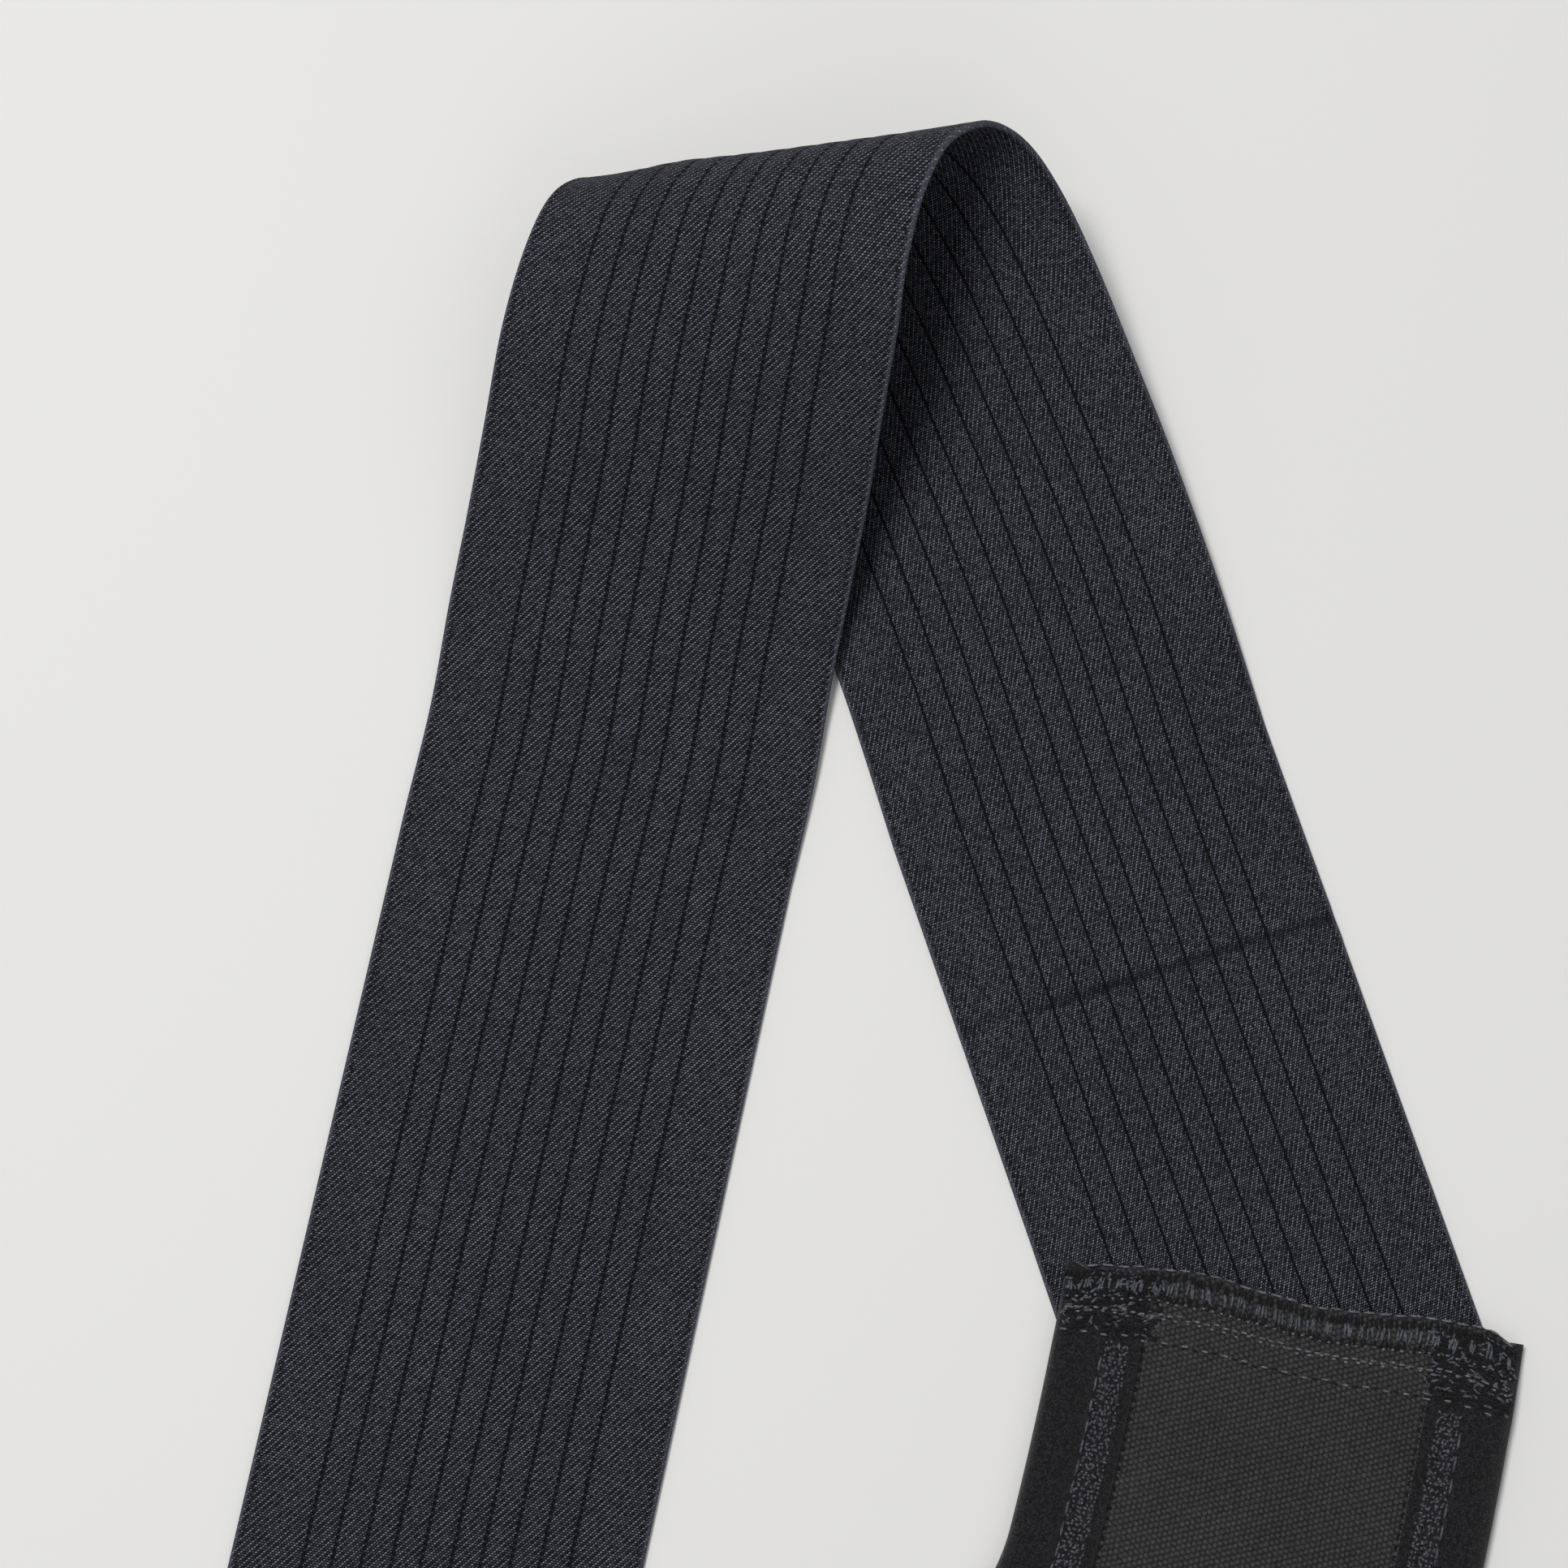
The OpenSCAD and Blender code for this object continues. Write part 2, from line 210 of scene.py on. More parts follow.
def tube_points(path, radius):
    """Rings round a path, smaller at its two ends."""
    path = np.asarray(path, float)
    way = unit(np.gradient(path, axis=0))
    side = unit(np.cross(way, [0.0, 0.0, 1.0]) + [1e-6, 0, 0])
    up = np.cross(side, way)
    r = np.full(len(path), radius)
    r[0] = r[-1] = radius * 0.35
    a = np.arange(TUBE_SIDES) * 2 * math.pi / TUBE_SIDES
    return (path[:, None] + r[:, None, None] * (np.cos(a)[None, :, None] * side[:, None]
            + np.sin(a)[None, :, None] * up[:, None])).reshape(-1, 3)


def threads(name, paths, radius, material):
    """One piece of many threads, each a closed tube along a path."""
    end = np.arange(TUBE_SIDES)[None]
    points, faces, start = [], [], 0
    for path in paths:
        rows = len(path)
        points.append(tube_points(path, radius))
        faces += [ring_faces(rows, TUBE_SIDES) + start, end + start,
                  end[:, ::-1] + start + (rows - 1) * TUBE_SIDES]
        start += rows * TUBE_SIDES
    return make_mesh(name, np.concatenate(points), np.concatenate(faces), [material])


def settle(piece, slot, body, *nodes):
    """The body that the piece rides on and the CAD nodes that it stands for, which are hidden; slot is not
    used.
    """
    if nodes:
        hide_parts(*nodes)
    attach(piece, body)


def closed_sheet(name, top, bottom, materials, uv, slots=(0, 0)):
    """A closed piece between a top and a bottom grid of points (rows, columns, 3)."""
    rows, cols = top.shape[:2]
    ring = np.concatenate([top, bottom[:, ::-1]], axis=1)
    uv_ring = np.concatenate([uv, uv[:, ::-1]], axis=1)
    faces = np.concatenate([ring_faces(rows, 2 * cols), shell_ends(rows, 2 * cols)])
    on_top = np.arange(2 * cols) < cols
    face_slots = np.concatenate([np.tile(np.where(on_top, *slots), rows - 1),
                                 np.full(2 * (cols - 1), slots[0])])
    caps = np.arange(len(faces)) >= (rows - 1) * 2 * cols
    return make_mesh(name, ring.reshape(-1, 3), faces, materials, face_slots, uv_ring.reshape(-1, 2), caps)


# ------------------------ materials
class Graph:
    """Short calls for a material's nodes."""

    def __init__(self, name, roughness, sheen=0.0, specular=0.3):
        self.material = bpy.data.materials.new(name)
        self.material.use_nodes = True
        self.tree = self.material.node_tree
        self.shader = self.tree.nodes["Principled BSDF"]
        for socket, value in (("Roughness", roughness), ("Specular IOR Level", specular),
                              ("Sheen Weight", sheen), ("Sheen Roughness", 0.45)):
            self.shader.inputs[socket].default_value = value
        coordinates = self.node("ShaderNodeUVMap")
        coordinates.uv_map = "cloth"
        self.uv = coordinates.outputs[0]
        split = self.node("ShaderNodeSeparateXYZ")
        self.link(self.uv, split.inputs[0])
        self.u, self.v = split.outputs[0], split.outputs[1]

    def node(self, kind):
        return self.tree.nodes.new(kind)

    def link(self, a, b):
        self.tree.links.new(a, b)

    def put(self, value, socket):
        if isinstance(value, (int, float, tuple)):
            socket.default_value = value
        else:
            self.link(value, socket)

    def math(self, operation, a, b=0.0, c=None):
        n = self.node("ShaderNodeMath")
        n.operation = operation
        self.put(a, n.inputs[0])
        self.put(b, n.inputs[1])
        if c is not None:
            self.put(c, n.inputs[2])
        return n.outputs[0]

    def add(self, a, b):
        return self.math("ADD", a, b)

    def sub(self, a, b):
        return self.math("SUBTRACT", a, b)

    def mul(self, a, b):
        return self.math("MULTIPLY", a, b)

    def step(self, value, low, high):
        """0 at low, 1 at high, smooth between."""
        n = self.node("ShaderNodeMapRange")
        n.interpolation_type = "SMOOTHSTEP"
        self.put(value, n.inputs["Value"])
        n.inputs["From Min"].default_value = low
        n.inputs["From Max"].default_value = high
        return n.outputs[0]

    def bump(self, value, centre, half):
        """1 at centre, falling to 0 at half away from it."""
        return self.step(self.math("ABSOLUTE", self.sub(value, centre)), half, 0.0)

    def point(self, x, y, z=0.0):
        n = self.node("ShaderNodeCombineXYZ")
        for value, socket in zip((x, y, z), n.inputs):
            self.put(value, socket)
        return n.outputs[0]

    def noise(self, scale, detail=2.0, where=None):
        n = self.node("ShaderNodeTexNoise")
        n.inputs["Scale"].default_value = scale
        n.inputs["Detail"].default_value = detail
        self.link(where if where is not None else self.uv, n.inputs["Vector"])
        return n.outputs[0]

    def object_noise(self, scale, detail):
        """Noise in the object's own space."""
        return self.noise(scale, detail, self.node("ShaderNodeTexCoord").outputs["Object"])

    def random(self, where):
        n = self.node("ShaderNodeTexWhiteNoise")
        n.noise_dimensions = "2D"
        self.link(where, n.inputs["Vector"])
        return n.outputs[0]

    def shade(self, value, stops):
        """A colour ramp: stops are (position, (r, g, b)) in linear colour."""
        n = self.node("ShaderNodeValToRGB")
        ramp = n.color_ramp
        while len(ramp.elements) < len(stops):
            ramp.elements.new(0.5)
        for element, (position, colour) in zip(ramp.elements, stops):
            element.position = position
            element.color = (*colour, 1.0)
        self.link(value, n.inputs[0])
        return n.outputs[0]

    def finish(self, colour, height, distance, strength=1.0):
        """Colour and relief; distance is the relief's depth in millimetres."""
        self.put(colour, self.shader.inputs["Base Color"])
        if height is not None:
            n = self.node("ShaderNodeBump")
            n.inputs["Strength"].default_value = strength
            n.inputs["Distance"].default_value = distance * MM
            self.link(height, n.inputs["Height"])
            self.link(n.outputs[0], self.shader.inputs["Normal"])
        return self.material

    def cells(self, u, v, pitch_u, pitch_v, shift, slant=0.0, even=0.0):
        """Rows of rounded cells, each row shifted on the last: relief and a tone for each cell.

        even is the share of the tone that alternates from cell to cell, the rest is random."""
        row = self.math("FLOOR", self.mul(v, 1 / pitch_v))
        across = self.add(self.mul(u, 1 / pitch_u), self.mul(row, shift))
        x = self.sub(self.math("FRACT", across), 0.5)
        y = self.sub(self.math("FRACT", self.mul(v, 1 / pitch_v)), 0.5)
        if slant:
            x = self.sub(x, self.mul(y, slant))
        fall = self.add(self.mul(x, x), self.mul(y, y))
        height = self.step(fall, 0.3, 0.02)
        number = self.math("FLOOR", across)
        tone = self.random(self.point(number, row))
        if even:
            turn = self.math("FRACT", self.mul(self.add(number, row), 0.5))
            tone = self.add(self.mul(tone, 1 - even), self.mul(turn, 2 * even))
        return height, tone

    def wobble(self, amount, scale):
        """The cloth's coordinates, moved a little by slow noise, so that threads aren't ruled."""
        n = self.sub(self.noise(scale, 1.0), 0.5)
        return self.add(self.u, self.mul(n, amount)), self.add(self.v, self.mul(n, -amount))


def elastic(name, twill):
    """The strap's woven faces: a fine broken twill on one, a plain granular weave on the other."""
    g = Graph(name, 0.72, specular=0.10)
    u, v = g.wobble(0.12, 0.3)
    if twill:
        height, tone = g.cells(u, v, 0.58, 0.45, -0.42, slant=-0.35, even=0.5)
    else:
        height, tone = g.cells(u, v, 0.48, 0.46, 0.5, slant=0.1, even=0.36)
    # the dark line between two ribs, measured from the nearest of the ten
    place = g.mul(g.sub(g.u, RIB_MARGIN), 1 / RIB_PITCH)
    nearest = g.math("MINIMUM", g.math("MAXIMUM", g.math("ROUND", place), 0.0), RIB_COUNT - 1.0)
    off = g.mul(g.math("ABSOLUTE", g.sub(place, nearest)), RIB_PITCH)
    picks = g.step(g.math("PINGPONG", g.add(g.v, g.mul(nearest, 0.37)), 0.62), 0.05, 0.5)
    if twill:
        line = g.mul(g.step(off, 0.42, 0.18), g.add(g.mul(picks, 0.7), 0.3))
    else:
        line = g.mul(g.step(off, 0.27, 0.12), g.add(g.mul(picks, 0.15), 0.85))
    # tiny holes along the selvedge, and its paler outer cord
    edge = g.math("MINIMUM", g.u, g.sub(STRAP_W, g.u))
    dots = g.mul(g.bump(edge, 1.4, 0.4), g.bump(g.math("PINGPONG", g.v, 0.62), 0.0, 0.34))
    cord = g.step(edge, 0.85, 0.5)
    relief = g.sub(g.sub(height, g.mul(line, 1.6)), g.mul(dots, 1.0))
    # partly painted highlight: the threads' random tone is the yarn's own, but its brightest specks stand
    # for glints off the yarn
    value = g.mul(height, g.add(0.22, g.mul(tone, 0.78)))
    value = g.mul(value, g.add(0.95, g.mul(g.sub(g.noise(0.035, 3.0), 0.5), 0.2)))
    value = g.mul(value, g.sub(1.0, g.mul(line, 0.96)))
    # painted shade: the plain face is darkened in a soft band along the crease across the lower leg
    if not twill:
        crease = g.bump(g.add(g.v, g.mul(g.u, CREASE_SKEW)), CREASE_AT, 1.7)
        crease = g.mul(crease, g.step(g.u, 4.0, 26.0))
        value = g.mul(value, g.sub(1.0, g.mul(crease, g.add(0.12, g.mul(g.noise(0.12, 1.0), 0.5)))))
    value = g.mul(value, g.sub(1.0, g.mul(dots, 0.9)))
    value = g.math("MAXIMUM", value, g.mul(cord, 0.5))
    blue = (1.0, 1.03, 1.28)
    stops = [(p, tuple(c * k for k in blue)) for p, c in
             ((0.0, 0.004), (0.25, 0.013), (0.5, 0.056), (0.95, 0.195))]
    return g.finish(g.shade(value, stops), relief, 0.14, 0.8)


def tricot(name):
    """Knitted mesh: small bumps in diagonal rows, with pinholes between."""
    g = Graph(name, 0.85, sheen=0.04, specular=0.12)
    u, v = g.wobble(0.2, 0.2)
    turned_u = g.add(g.mul(u, 0.82), g.mul(v, 0.57))
    turned_v = g.sub(g.mul(v, 0.82), g.mul(u, 0.57))
    height, _ = g.cells(turned_u, turned_v, 1.10, 0.92, 0.5)
    fine, grain = g.cells(u, v, 0.40, 0.45, 0.5)
    value = g.add(g.add(g.mul(height, 0.40), 0.03), g.add(g.mul(fine, 0.24), g.mul(grain, 0.26)))
    value = g.add(value, g.mul(g.sub(g.noise(0.03, 3.0), 0.5), 0.25))
    stops = [(0.0, (0.007, 0.007, 0.007)), (0.45, (0.0265, 0.0265, 0.0267)), (0.9, (0.074, 0.074, 0.075))]
    return g.finish(g.shade(value, stops), g.add(height, g.mul(fine, 0.45)), 0.17, 0.8)


def plush(name, dark=1.0):
    """Brushed binding: short pile with a soft sheen."""
    g = Graph(name, 0.95, sheen=0.2, specular=0.08)
    pile = g.noise(2.6, 4.0)
    fine, grain = g.cells(*g.wobble(0.5, 0.8), 0.36, 0.42, 0.5)
    value = g.add(g.mul(pile, 0.6), g.add(g.mul(fine, 0.12), g.mul(grain, 0.24)))
    stops = [(p, tuple(c * dark for c in colour)) for p, colour in
             ((0.25, (0.004, 0.004, 0.0045)), (0.5, (0.015, 0.0145, 0.016)), (0.85, (0.050, 0.048, 0.053)))]
    return g.finish(g.shade(value, stops), g.add(pile, g.mul(fine, 0.4)), 0.3, 0.7)


def tape(name):
    """Woven tape: a small broken herringbone."""
    g = Graph(name, 0.8, sheen=0.1, specular=0.25)
    u, v = g.wobble(0.3, 0.3)
    lean = g.math("PINGPONG", u, 3.0)
    height, tone = g.cells(g.add(u, v), g.add(v, lean), 0.6, 0.7, 0.5)
    value = g.add(g.mul(height, 0.6), g.mul(g.mul(tone, height), 0.4))
    stops = [(0.0, (0.004, 0.004, 0.005)), (0.5, (0.022, 0.022, 0.026)), (1.0, (0.065, 0.065, 0.075))]
    return g.finish(g.shade(value, stops), height, 0.14, 0.8)


def yarn(name, stops):
    """Sewing thread: a twist along its length, in the object's own space."""
    g = Graph(name, 0.7, sheen=0.08, specular=0.15)
    twist = g.object_noise(1900.0, 1.0)
    return g.finish(g.shade(twist, stops), twist, 0.05, 0.5)


def moulded(name, colour, roughness):
    """Foam or plastic, faintly mottled."""
    g = Graph(name, roughness, specular=0.4)
    grain = g.object_noise(900.0, 3.0)
    stops = [(0.3, tuple(c * 0.75 for c in colour)), (0.7, colour)]
    return g.finish(g.shade(grain, stops), grain, 0.03, 0.4)


def steel(name):
    """Bare spring steel."""
    g = Graph(name, 0.32, specular=0.5)
    g.shader.inputs["Metallic"].default_value = 1.0
    grain = g.object_noise(400.0, 3.0)
    return g.finish(g.shade(grain, [(0.3, (0.42, 0.43, 0.45)), (0.7, (0.56, 0.57, 0.59))]), grain, 0.01, 0.3)


ELASTIC_PLAIN = elastic("elastic_plain_face", twill=False)
ELASTIC_TWILL = elastic("elastic_twill_face", twill=True)
TRICOT = tricot("tricot_mesh")
PLUSH = plush("binding_plush")
LINING = plush("brushed_lining", dark=0.8)
LOOP_PILE = plush("loop_pile", dark=1.1)
TAPE = tape("pocket_tape")
THREAD = yarn("thread_grey", [(0.3, (0.029, 0.030, 0.036)), (0.7, (0.130, 0.135, 0.156))])
THREAD_PALE = yarn("thread_pale", [(0.3, (0.060, 0.061, 0.067)), (0.7, (0.21, 0.215, 0.235))])
THREAD_DARK = yarn("thread_black", [(0.3, (0.002, 0.002, 0.0025)), (0.7, (0.010, 0.010, 0.012))])
FOAM = moulded("spacer_foam", (0.07, 0.07, 0.075), 0.9)
HOOK = moulded("hook_tape", (0.012, 0.012, 0.013), 0.5)
CAP = moulded("stay_cap_plastic", (0.02, 0.02, 0.021), 0.4)
STEEL = steel("stay_steel")


# ------------------------ the strap
def station(t):
    """The route at t stations from its start: middle, and the cross line's turn and tilt."""
    t = np.asarray(t, float)
    last = len(ROUTE) - 1
    i = np.clip(np.floor(t).astype(int), 0, last - 1)
    route = np.array(ROUTE, float)
    p0, p1 = route[np.maximum(i - 1, 0)], route[i]
    p2, p3 = route[i + 1], route[np.minimum(i + 2, last)]
    f = (t - i)[:, None]
    return p1 + f * ((p2 - p0) / 2 + f * (p0 - 2.5 * p1 + 2 * p2 - p3 / 2
                     + f * (1.5 * (p1 - p2) + (p3 - p0) / 2)))


def cross_line(s):
    yaw, roll = np.radians(s[:, 3]), np.radians(s[:, 4])
    return np.stack([np.cos(roll) * np.cos(yaw), np.cos(roll) * np.sin(yaw), np.sin(roll)], -1)


def on_strap(t, v):
    s = station(t)
    return s[:, None, :3] + v[None, :, None] * cross_line(s)[:, None] * STRAP_W / 2


def bowed(t, v):
    """The fold's crest bows outwards between the selvedges, and draws in at the left one."""
    t = t[:, None]
    return 3.0 * bump(t, 8.0, 3.6) * (1 - v * v) - 2.6 * bump(t, 8.2, 2.8) * smooth((-v - 0.4) / 0.6)


def strap_columns():
    """Distances across the strap at which its section has points: close together at the ribs."""
    ribs = RIB_MARGIN + RIB_PITCH * np.arange(RIB_COUNT)
    near = np.array([-0.42, -0.17, 0.0, 0.17, 0.42])
    between = np.array([1.2, 2.05, 2.7, 3.35, 4.2]) * RIB_PITCH / 5.4
    edge = np.array([0.0, 0.1, 0.3, 0.6, 1.0, 1.5, 2.5, 4.0, 5.5, 7.0, 8.5, 10.0, 11.4, 12.4])
    x = np.concatenate([edge, (ribs[:, None] + near).ravel(),
                        (ribs[:-1, None] + between).ravel(), STRAP_W - edge])
    return np.sort(x)


COLUMNS = strap_columns()
SPREAD = COLUMNS / STRAP_W * 2 - 1
ACROSS = SPREAD * STRAP_W / 2
FROM_EDGE = np.minimum(COLUMNS, STRAP_W - COLUMNS)


def strap_section(groove):
    """Half the strap's thickness across its width: ribs, grooves and a thin rounded selvedge."""
    place = (COLUMNS - RIB_MARGIN) / RIB_PITCH
    off = np.abs(place - np.clip(np.round(place), 0, RIB_COUNT - 1)) * RIB_PITCH
    half = STRAP_T / 2 + 0.04 * np.cos(2 * math.pi * np.clip(off, 0, RIB_PITCH / 2) / RIB_PITCH + math.pi)
    half = half - groove * np.exp(-(off / 0.24) ** 2)
    half = half - 0.12 * np.exp(-((FROM_EDGE - 1.5) / 0.35) ** 2)
    rounded = np.sqrt(np.clip(1 - (1 - np.clip(FROM_EDGE / 0.75, 0, 1)) ** 2, 0.02, 1))
    return half * rounded


SEAM_MID = CRESCENT_R * np.array([math.cos(SEAM_YAW) - math.cos(PANEL_TURN),
                                  math.sin(SEAM_YAW) - math.sin(PANEL_TURN)])
SEAM_CROSS = np.array([math.cos(SEAM_YAW), math.sin(SEAM_YAW)])
LEG_WAY = np.array([-math.sin(LEG_YAW), math.cos(LEG_YAW)])
SEAM_W = STRAP_W / SEAM_COS


def strap_piece(name, middle, up, along):
    """A stretch of the strap about its middle surface. along is the distance along it, for the weave."""
    wave = 0.10 * ripple(along, COLUMNS[None], 3, 22.0)
    crease = along - CREASE_AT + CREASE_SKEW * COLUMNS[None]
    crease = 0.28 * bump(crease, -3.4, 3.2) - 0.14 * bump(crease, 0.0, 1.6) + 0.16 * bump(crease, 3.2, 3.0)
    lift = np.clip(0.14 + wave + crease, 0.0, 0.7) * np.clip((along - FLAT_TO) / 20, 0, 1)
    middle = middle + lift[..., None] * np.array([0.0, 0.0, 1.0])
    top = middle + up * strap_section(GROOVE_TOP)[:, None]
    bottom = middle - up * strap_section(GROOVE_UNDER)[:, None]
    uv = np.stack([np.broadcast_to(COLUMNS, along.shape), along], -1)
    piece = closed_sheet(name, top, bottom, [ELASTIC_PLAIN, ELASTIC_TWILL], uv, slots=(0, 1))
    return piece


# Stations all along the route, and the distance at each
EVEN = np.linspace(0, len(ROUTE) - 1, 1800)
EVEN_LENGTH = distances(station(EVEN)[:, :3])


def seam_distance(along, spread):
    """Points at a distance past the seam line, spread across the strap's width from -1 to 1."""
    centre = SEAM_MID + along * LEG_WAY / SEAM_COS
    return centre + spread[:, None] * SEAM_W / 2 * SEAM_CROSS


LEAD_START = seam_distance(0.0, SPREAD)
LEAD_END = on_strap(np.array([0.0]), SPREAD)[0][:, :2]
LEAD_LENGTH = np.linalg.norm(LEAD_END - LEAD_START, axis=1)
LEAD_MEAN = float(LEAD_LENGTH.mean())


def flat_grid(start, end, count):
    """Rows between two lines of points lying flat, at half the strap's thickness above the surface."""
    f = np.linspace(0, 1, count)[:, None, None]
    flat = start + (end - start) * f
    return np.concatenate([flat, np.full((*flat.shape[:2], 1), STRAP_T / 2 + CLEAR)], -1)


def route_grid(t0, t1):
    """Rows of the route between two stations, about a millimetre apart, with their normals."""
    s0, s1 = np.interp([t0, t1], EVEN, EVEN_LENGTH)
    rows = np.linspace(s0, s1, int((s1 - s0) / ROW_STEP) + 2)
    rows = np.concatenate([rows[:1], s0 + END_ROWS, rows[1:-1], s1 - END_ROWS[::-1], rows[-1:]])
    t = np.interp(rows, EVEN_LENGTH, EVEN)
    t[0], t[-1] = t0, t1
    ahead, behind = on_strap(t + 0.05, SPREAD), on_strap(t - 0.05, SPREAD)
    up = unit(np.cross(cross_line(station(t))[:, None], ahead - behind))
    along = LEAD_MEAN + np.interp(t, EVEN, EVEN_LENGTH)
    middle = on_strap(t, SPREAD) - up * bowed(t, SPREAD)[..., None]
    return middle, up, np.broadcast_to(along[:, None], up.shape[:2])


def lower_leg():
    """From its sewn end under the wing to the start of the loop."""
    count = int(TUCKED) + 1
    tucked = flat_grid(seam_distance(-TUCKED, SPREAD), LEAD_START, count)[:-1]
    lead = flat_grid(LEAD_START, LEAD_END, int(LEAD_MEAN))[:-1]
    rest, up, along = route_grid(0.0, LOOP_FROM)
    tucked_along = LEAD_MEAN - LEAD_LENGTH - np.linspace(TUCKED, 0, count)[:-1, None] / SEAM_COS
    lead_along = LEAD_MEAN - LEAD_LENGTH * np.linspace(1, 0, int(LEAD_MEAN))[:-1, None]
    flat_up = np.broadcast_to([0.0, 0.0, 1.0], np.concatenate([tucked, lead]).shape)
    piece = strap_piece("elastic_lower_leg", np.concatenate([tucked, lead, rest]),
                        np.concatenate([flat_up, up]), np.concatenate([tucked_along, lead_along, along]))
    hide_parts("strap_lower_leg", "strap_sewn_end")
    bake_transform(piece)


def loop():
    """The fold between the two legs."""
    middle, up, along = route_grid(LOOP_FROM, LOOP_TO)
    piece = strap_piece("elastic_loop", middle, up, along)
    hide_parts("strap_loop")
    way = unit(np.cross(middle[-1, -1] - middle[-1, 0], middle[0, -1] - middle[0, 0]))
    way = way * np.sign(np.dot(way, middle[-1, 0] - middle[0, 0]))
    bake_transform(piece)


def upper_leg():
    """From the loop back over the lower leg and on to the hook tab."""
    middle, up, along = route_grid(LOOP_TO, len(ROUTE) - 1.0)
    foot, way = middle[-1], np.array([*TAIL_WAY, 0.0])
    f = np.linspace(0, 1, int(STRAP_TAIL / ROW_STEP))[1:, None, None]
    tail = foot + way * STRAP_TAIL * f
    tail_along = along[-1, 0] + STRAP_TAIL * f[:, :, 0] * np.ones((1, len(COLUMNS)))
    piece = strap_piece("elastic_upper_leg", np.concatenate([middle, tail]),
                        np.concatenate([up, np.broadcast_to(up[-1], tail.shape)]),
                        np.concatenate([along, tail_along]))
    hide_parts("strap_upper_leg")
    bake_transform(piece)


TAIL_YAW = math.radians(ROUTE[-1][3])
TAIL_WAY = np.array([math.sin(TAIL_YAW), -math.cos(TAIL_YAW)])
TAIL_TIP = np.array(ROUTE[-1][:2]) + TAIL_WAY * STRAP_TAIL


# ------------------------ the panel
def flare(u):
    return smooth((FLARE_TO - np.abs(u)) / (FLARE_TO - FLARE_FROM))


def inner_reach(u):
    return INNER_END + (INNER_MID - INNER_END) * flare(u)


def outer_reach(u):
    return OUTER_END + (OUTER_MID - OUTER_END) * flare(u)


def reach_to(u, edge):
    """From the panel's middle line to its inner edge, at -1, or its outer edge, at 1."""
    return inner_reach(u) if edge < 0 else outer_reach(u)


def on_panel(u, r, z):
    """A point u along the crescent from the spine, r out from it, z up."""
    u, r, z = np.broadcast_arrays(u, r, z)
    a = u / CRESCENT_R + PANEL_TURN
    return np.stack([(CRESCENT_R + r) * np.cos(a) - CRESCENT_R * math.cos(PANEL_TURN),
                     (CRESCENT_R + r) * np.sin(a) - CRESCENT_R * math.sin(PANEL_TURN), z], -1)


def cut_edge(r):
    """How far the wing's cut edge strays past the seam line."""
    wave = 0.9 * np.cos(2 * math.pi * (r + 12) / 48)
    return wave - 1.2 * smooth((-29 - r) / 7) - 1.6 * smooth((r - 43) / 7)


def pressed(u):
    """0 on the panel, 1 at the cut edge, where the layers are sewn down on the strap."""
    return smooth((np.abs(u) - 160.5) / 12.0)


def mesh_height(u, r):
    """Top of the outer mesh: softly padded, drawn down by the binding and by the seam's stitches."""
    inset = np.minimum(r + inner_reach(u), outer_reach(u) - r) - BINDING_W
    pad = 0.28 * smooth((inset + 2) / 11) * (1 - pressed(u))
    back = PANEL_HALF - np.abs(u)
    rows = 0.28 * bump(back, NEAR_ROW, 1.5) + 0.25 * bump(back, FAR_ROW, 1.8)
    slow = 0.32 * ripple(u, r, 11, 9.0) * smooth(inset / 9)
    return MESH_TOP + pad - rows * smooth(inset + 1) - PRESS * pressed(u) + slow


def panel_grid(side, inset, length, step):
    """A grid over half of the panel: distances along and out, inset from both edges."""
    cols = int(PANEL_SPREAD / step) + 1
    u = np.linspace(0, length, int(length / step) + 1)
    u = np.concatenate([u[:1], END_ROWS, u[1:]])[:, None]
    f = np.linspace(0, 1, cols)[None]
    r = -inner_reach(u) + inset + (inner_reach(u) + outer_reach(u) - 2 * inset) * f
    return side * u, r


def panel_layer(name, grid, top, bottom, material):
    """One layer of half of the panel, between two heights on its grid."""
    u, r = grid
    uv = np.stack([r, u * (CRESCENT_R + r) / CRESCENT_R], -1)
    piece = closed_sheet(name, on_panel(u, r, top), on_panel(u, r, bottom), [material], uv)
    return piece


def bend_with_wing(piece, side):
    """Bakes the piece's place into its mesh."""
    on_panel(side * (HINGE_U - HINGE_HALF), 0.0, 0.0) * MM
    on_panel(side * (HINGE_U + HINGE_HALF), 0.0, 0.0) * MM
    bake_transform(piece)


def panel_half(side, which):
    """Mesh, core and lining of one half of the panel, from the spine to the seam."""
    wing = which + "_wing"
    length = PANEL_HALF
    u, r = panel_grid(side, 1.3, length, 1.5)
    u = u + side * cut_edge(r) * smooth((np.abs(u) - 150) / 24)
    mesh_top = mesh_height(u, r)
    thick = 0.6 - 0.15 * pressed(u)

    skin = panel_layer(f"{which}_side_mesh", (u, r), mesh_top, mesh_top - thick, TRICOT)
    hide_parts("back_mesh", wing + "_mesh")
    bend_with_wing(skin, side)

    core_top = np.minimum(mesh_top - thick - 0.03, CORE_TOP - 0.9 * pressed(u))
    inner = panel_layer(f"{which}_side_core", (u * 0.997, r), core_top, np.full_like(r, CORE_BASE),
                        FOAM)
    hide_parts("back_core", wing + "_core")
    bend_with_wing(inner, side)

    u, r = panel_grid(side, 1.5, length - OVERLAP, 2.0)
    edge = np.minimum(r + inner_reach(u), outer_reach(u) - r)
    under = 0.9 - 0.88 * smooth((edge - BINDING_W + 2.5) / 3.0)
    lower = panel_layer(f"{which}_side_lining", (u, r), np.full_like(r, LINING_TOP), under,
                        LINING)
    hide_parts("back_lining", wing + "_lining")
    bend_with_wing(lower, side)


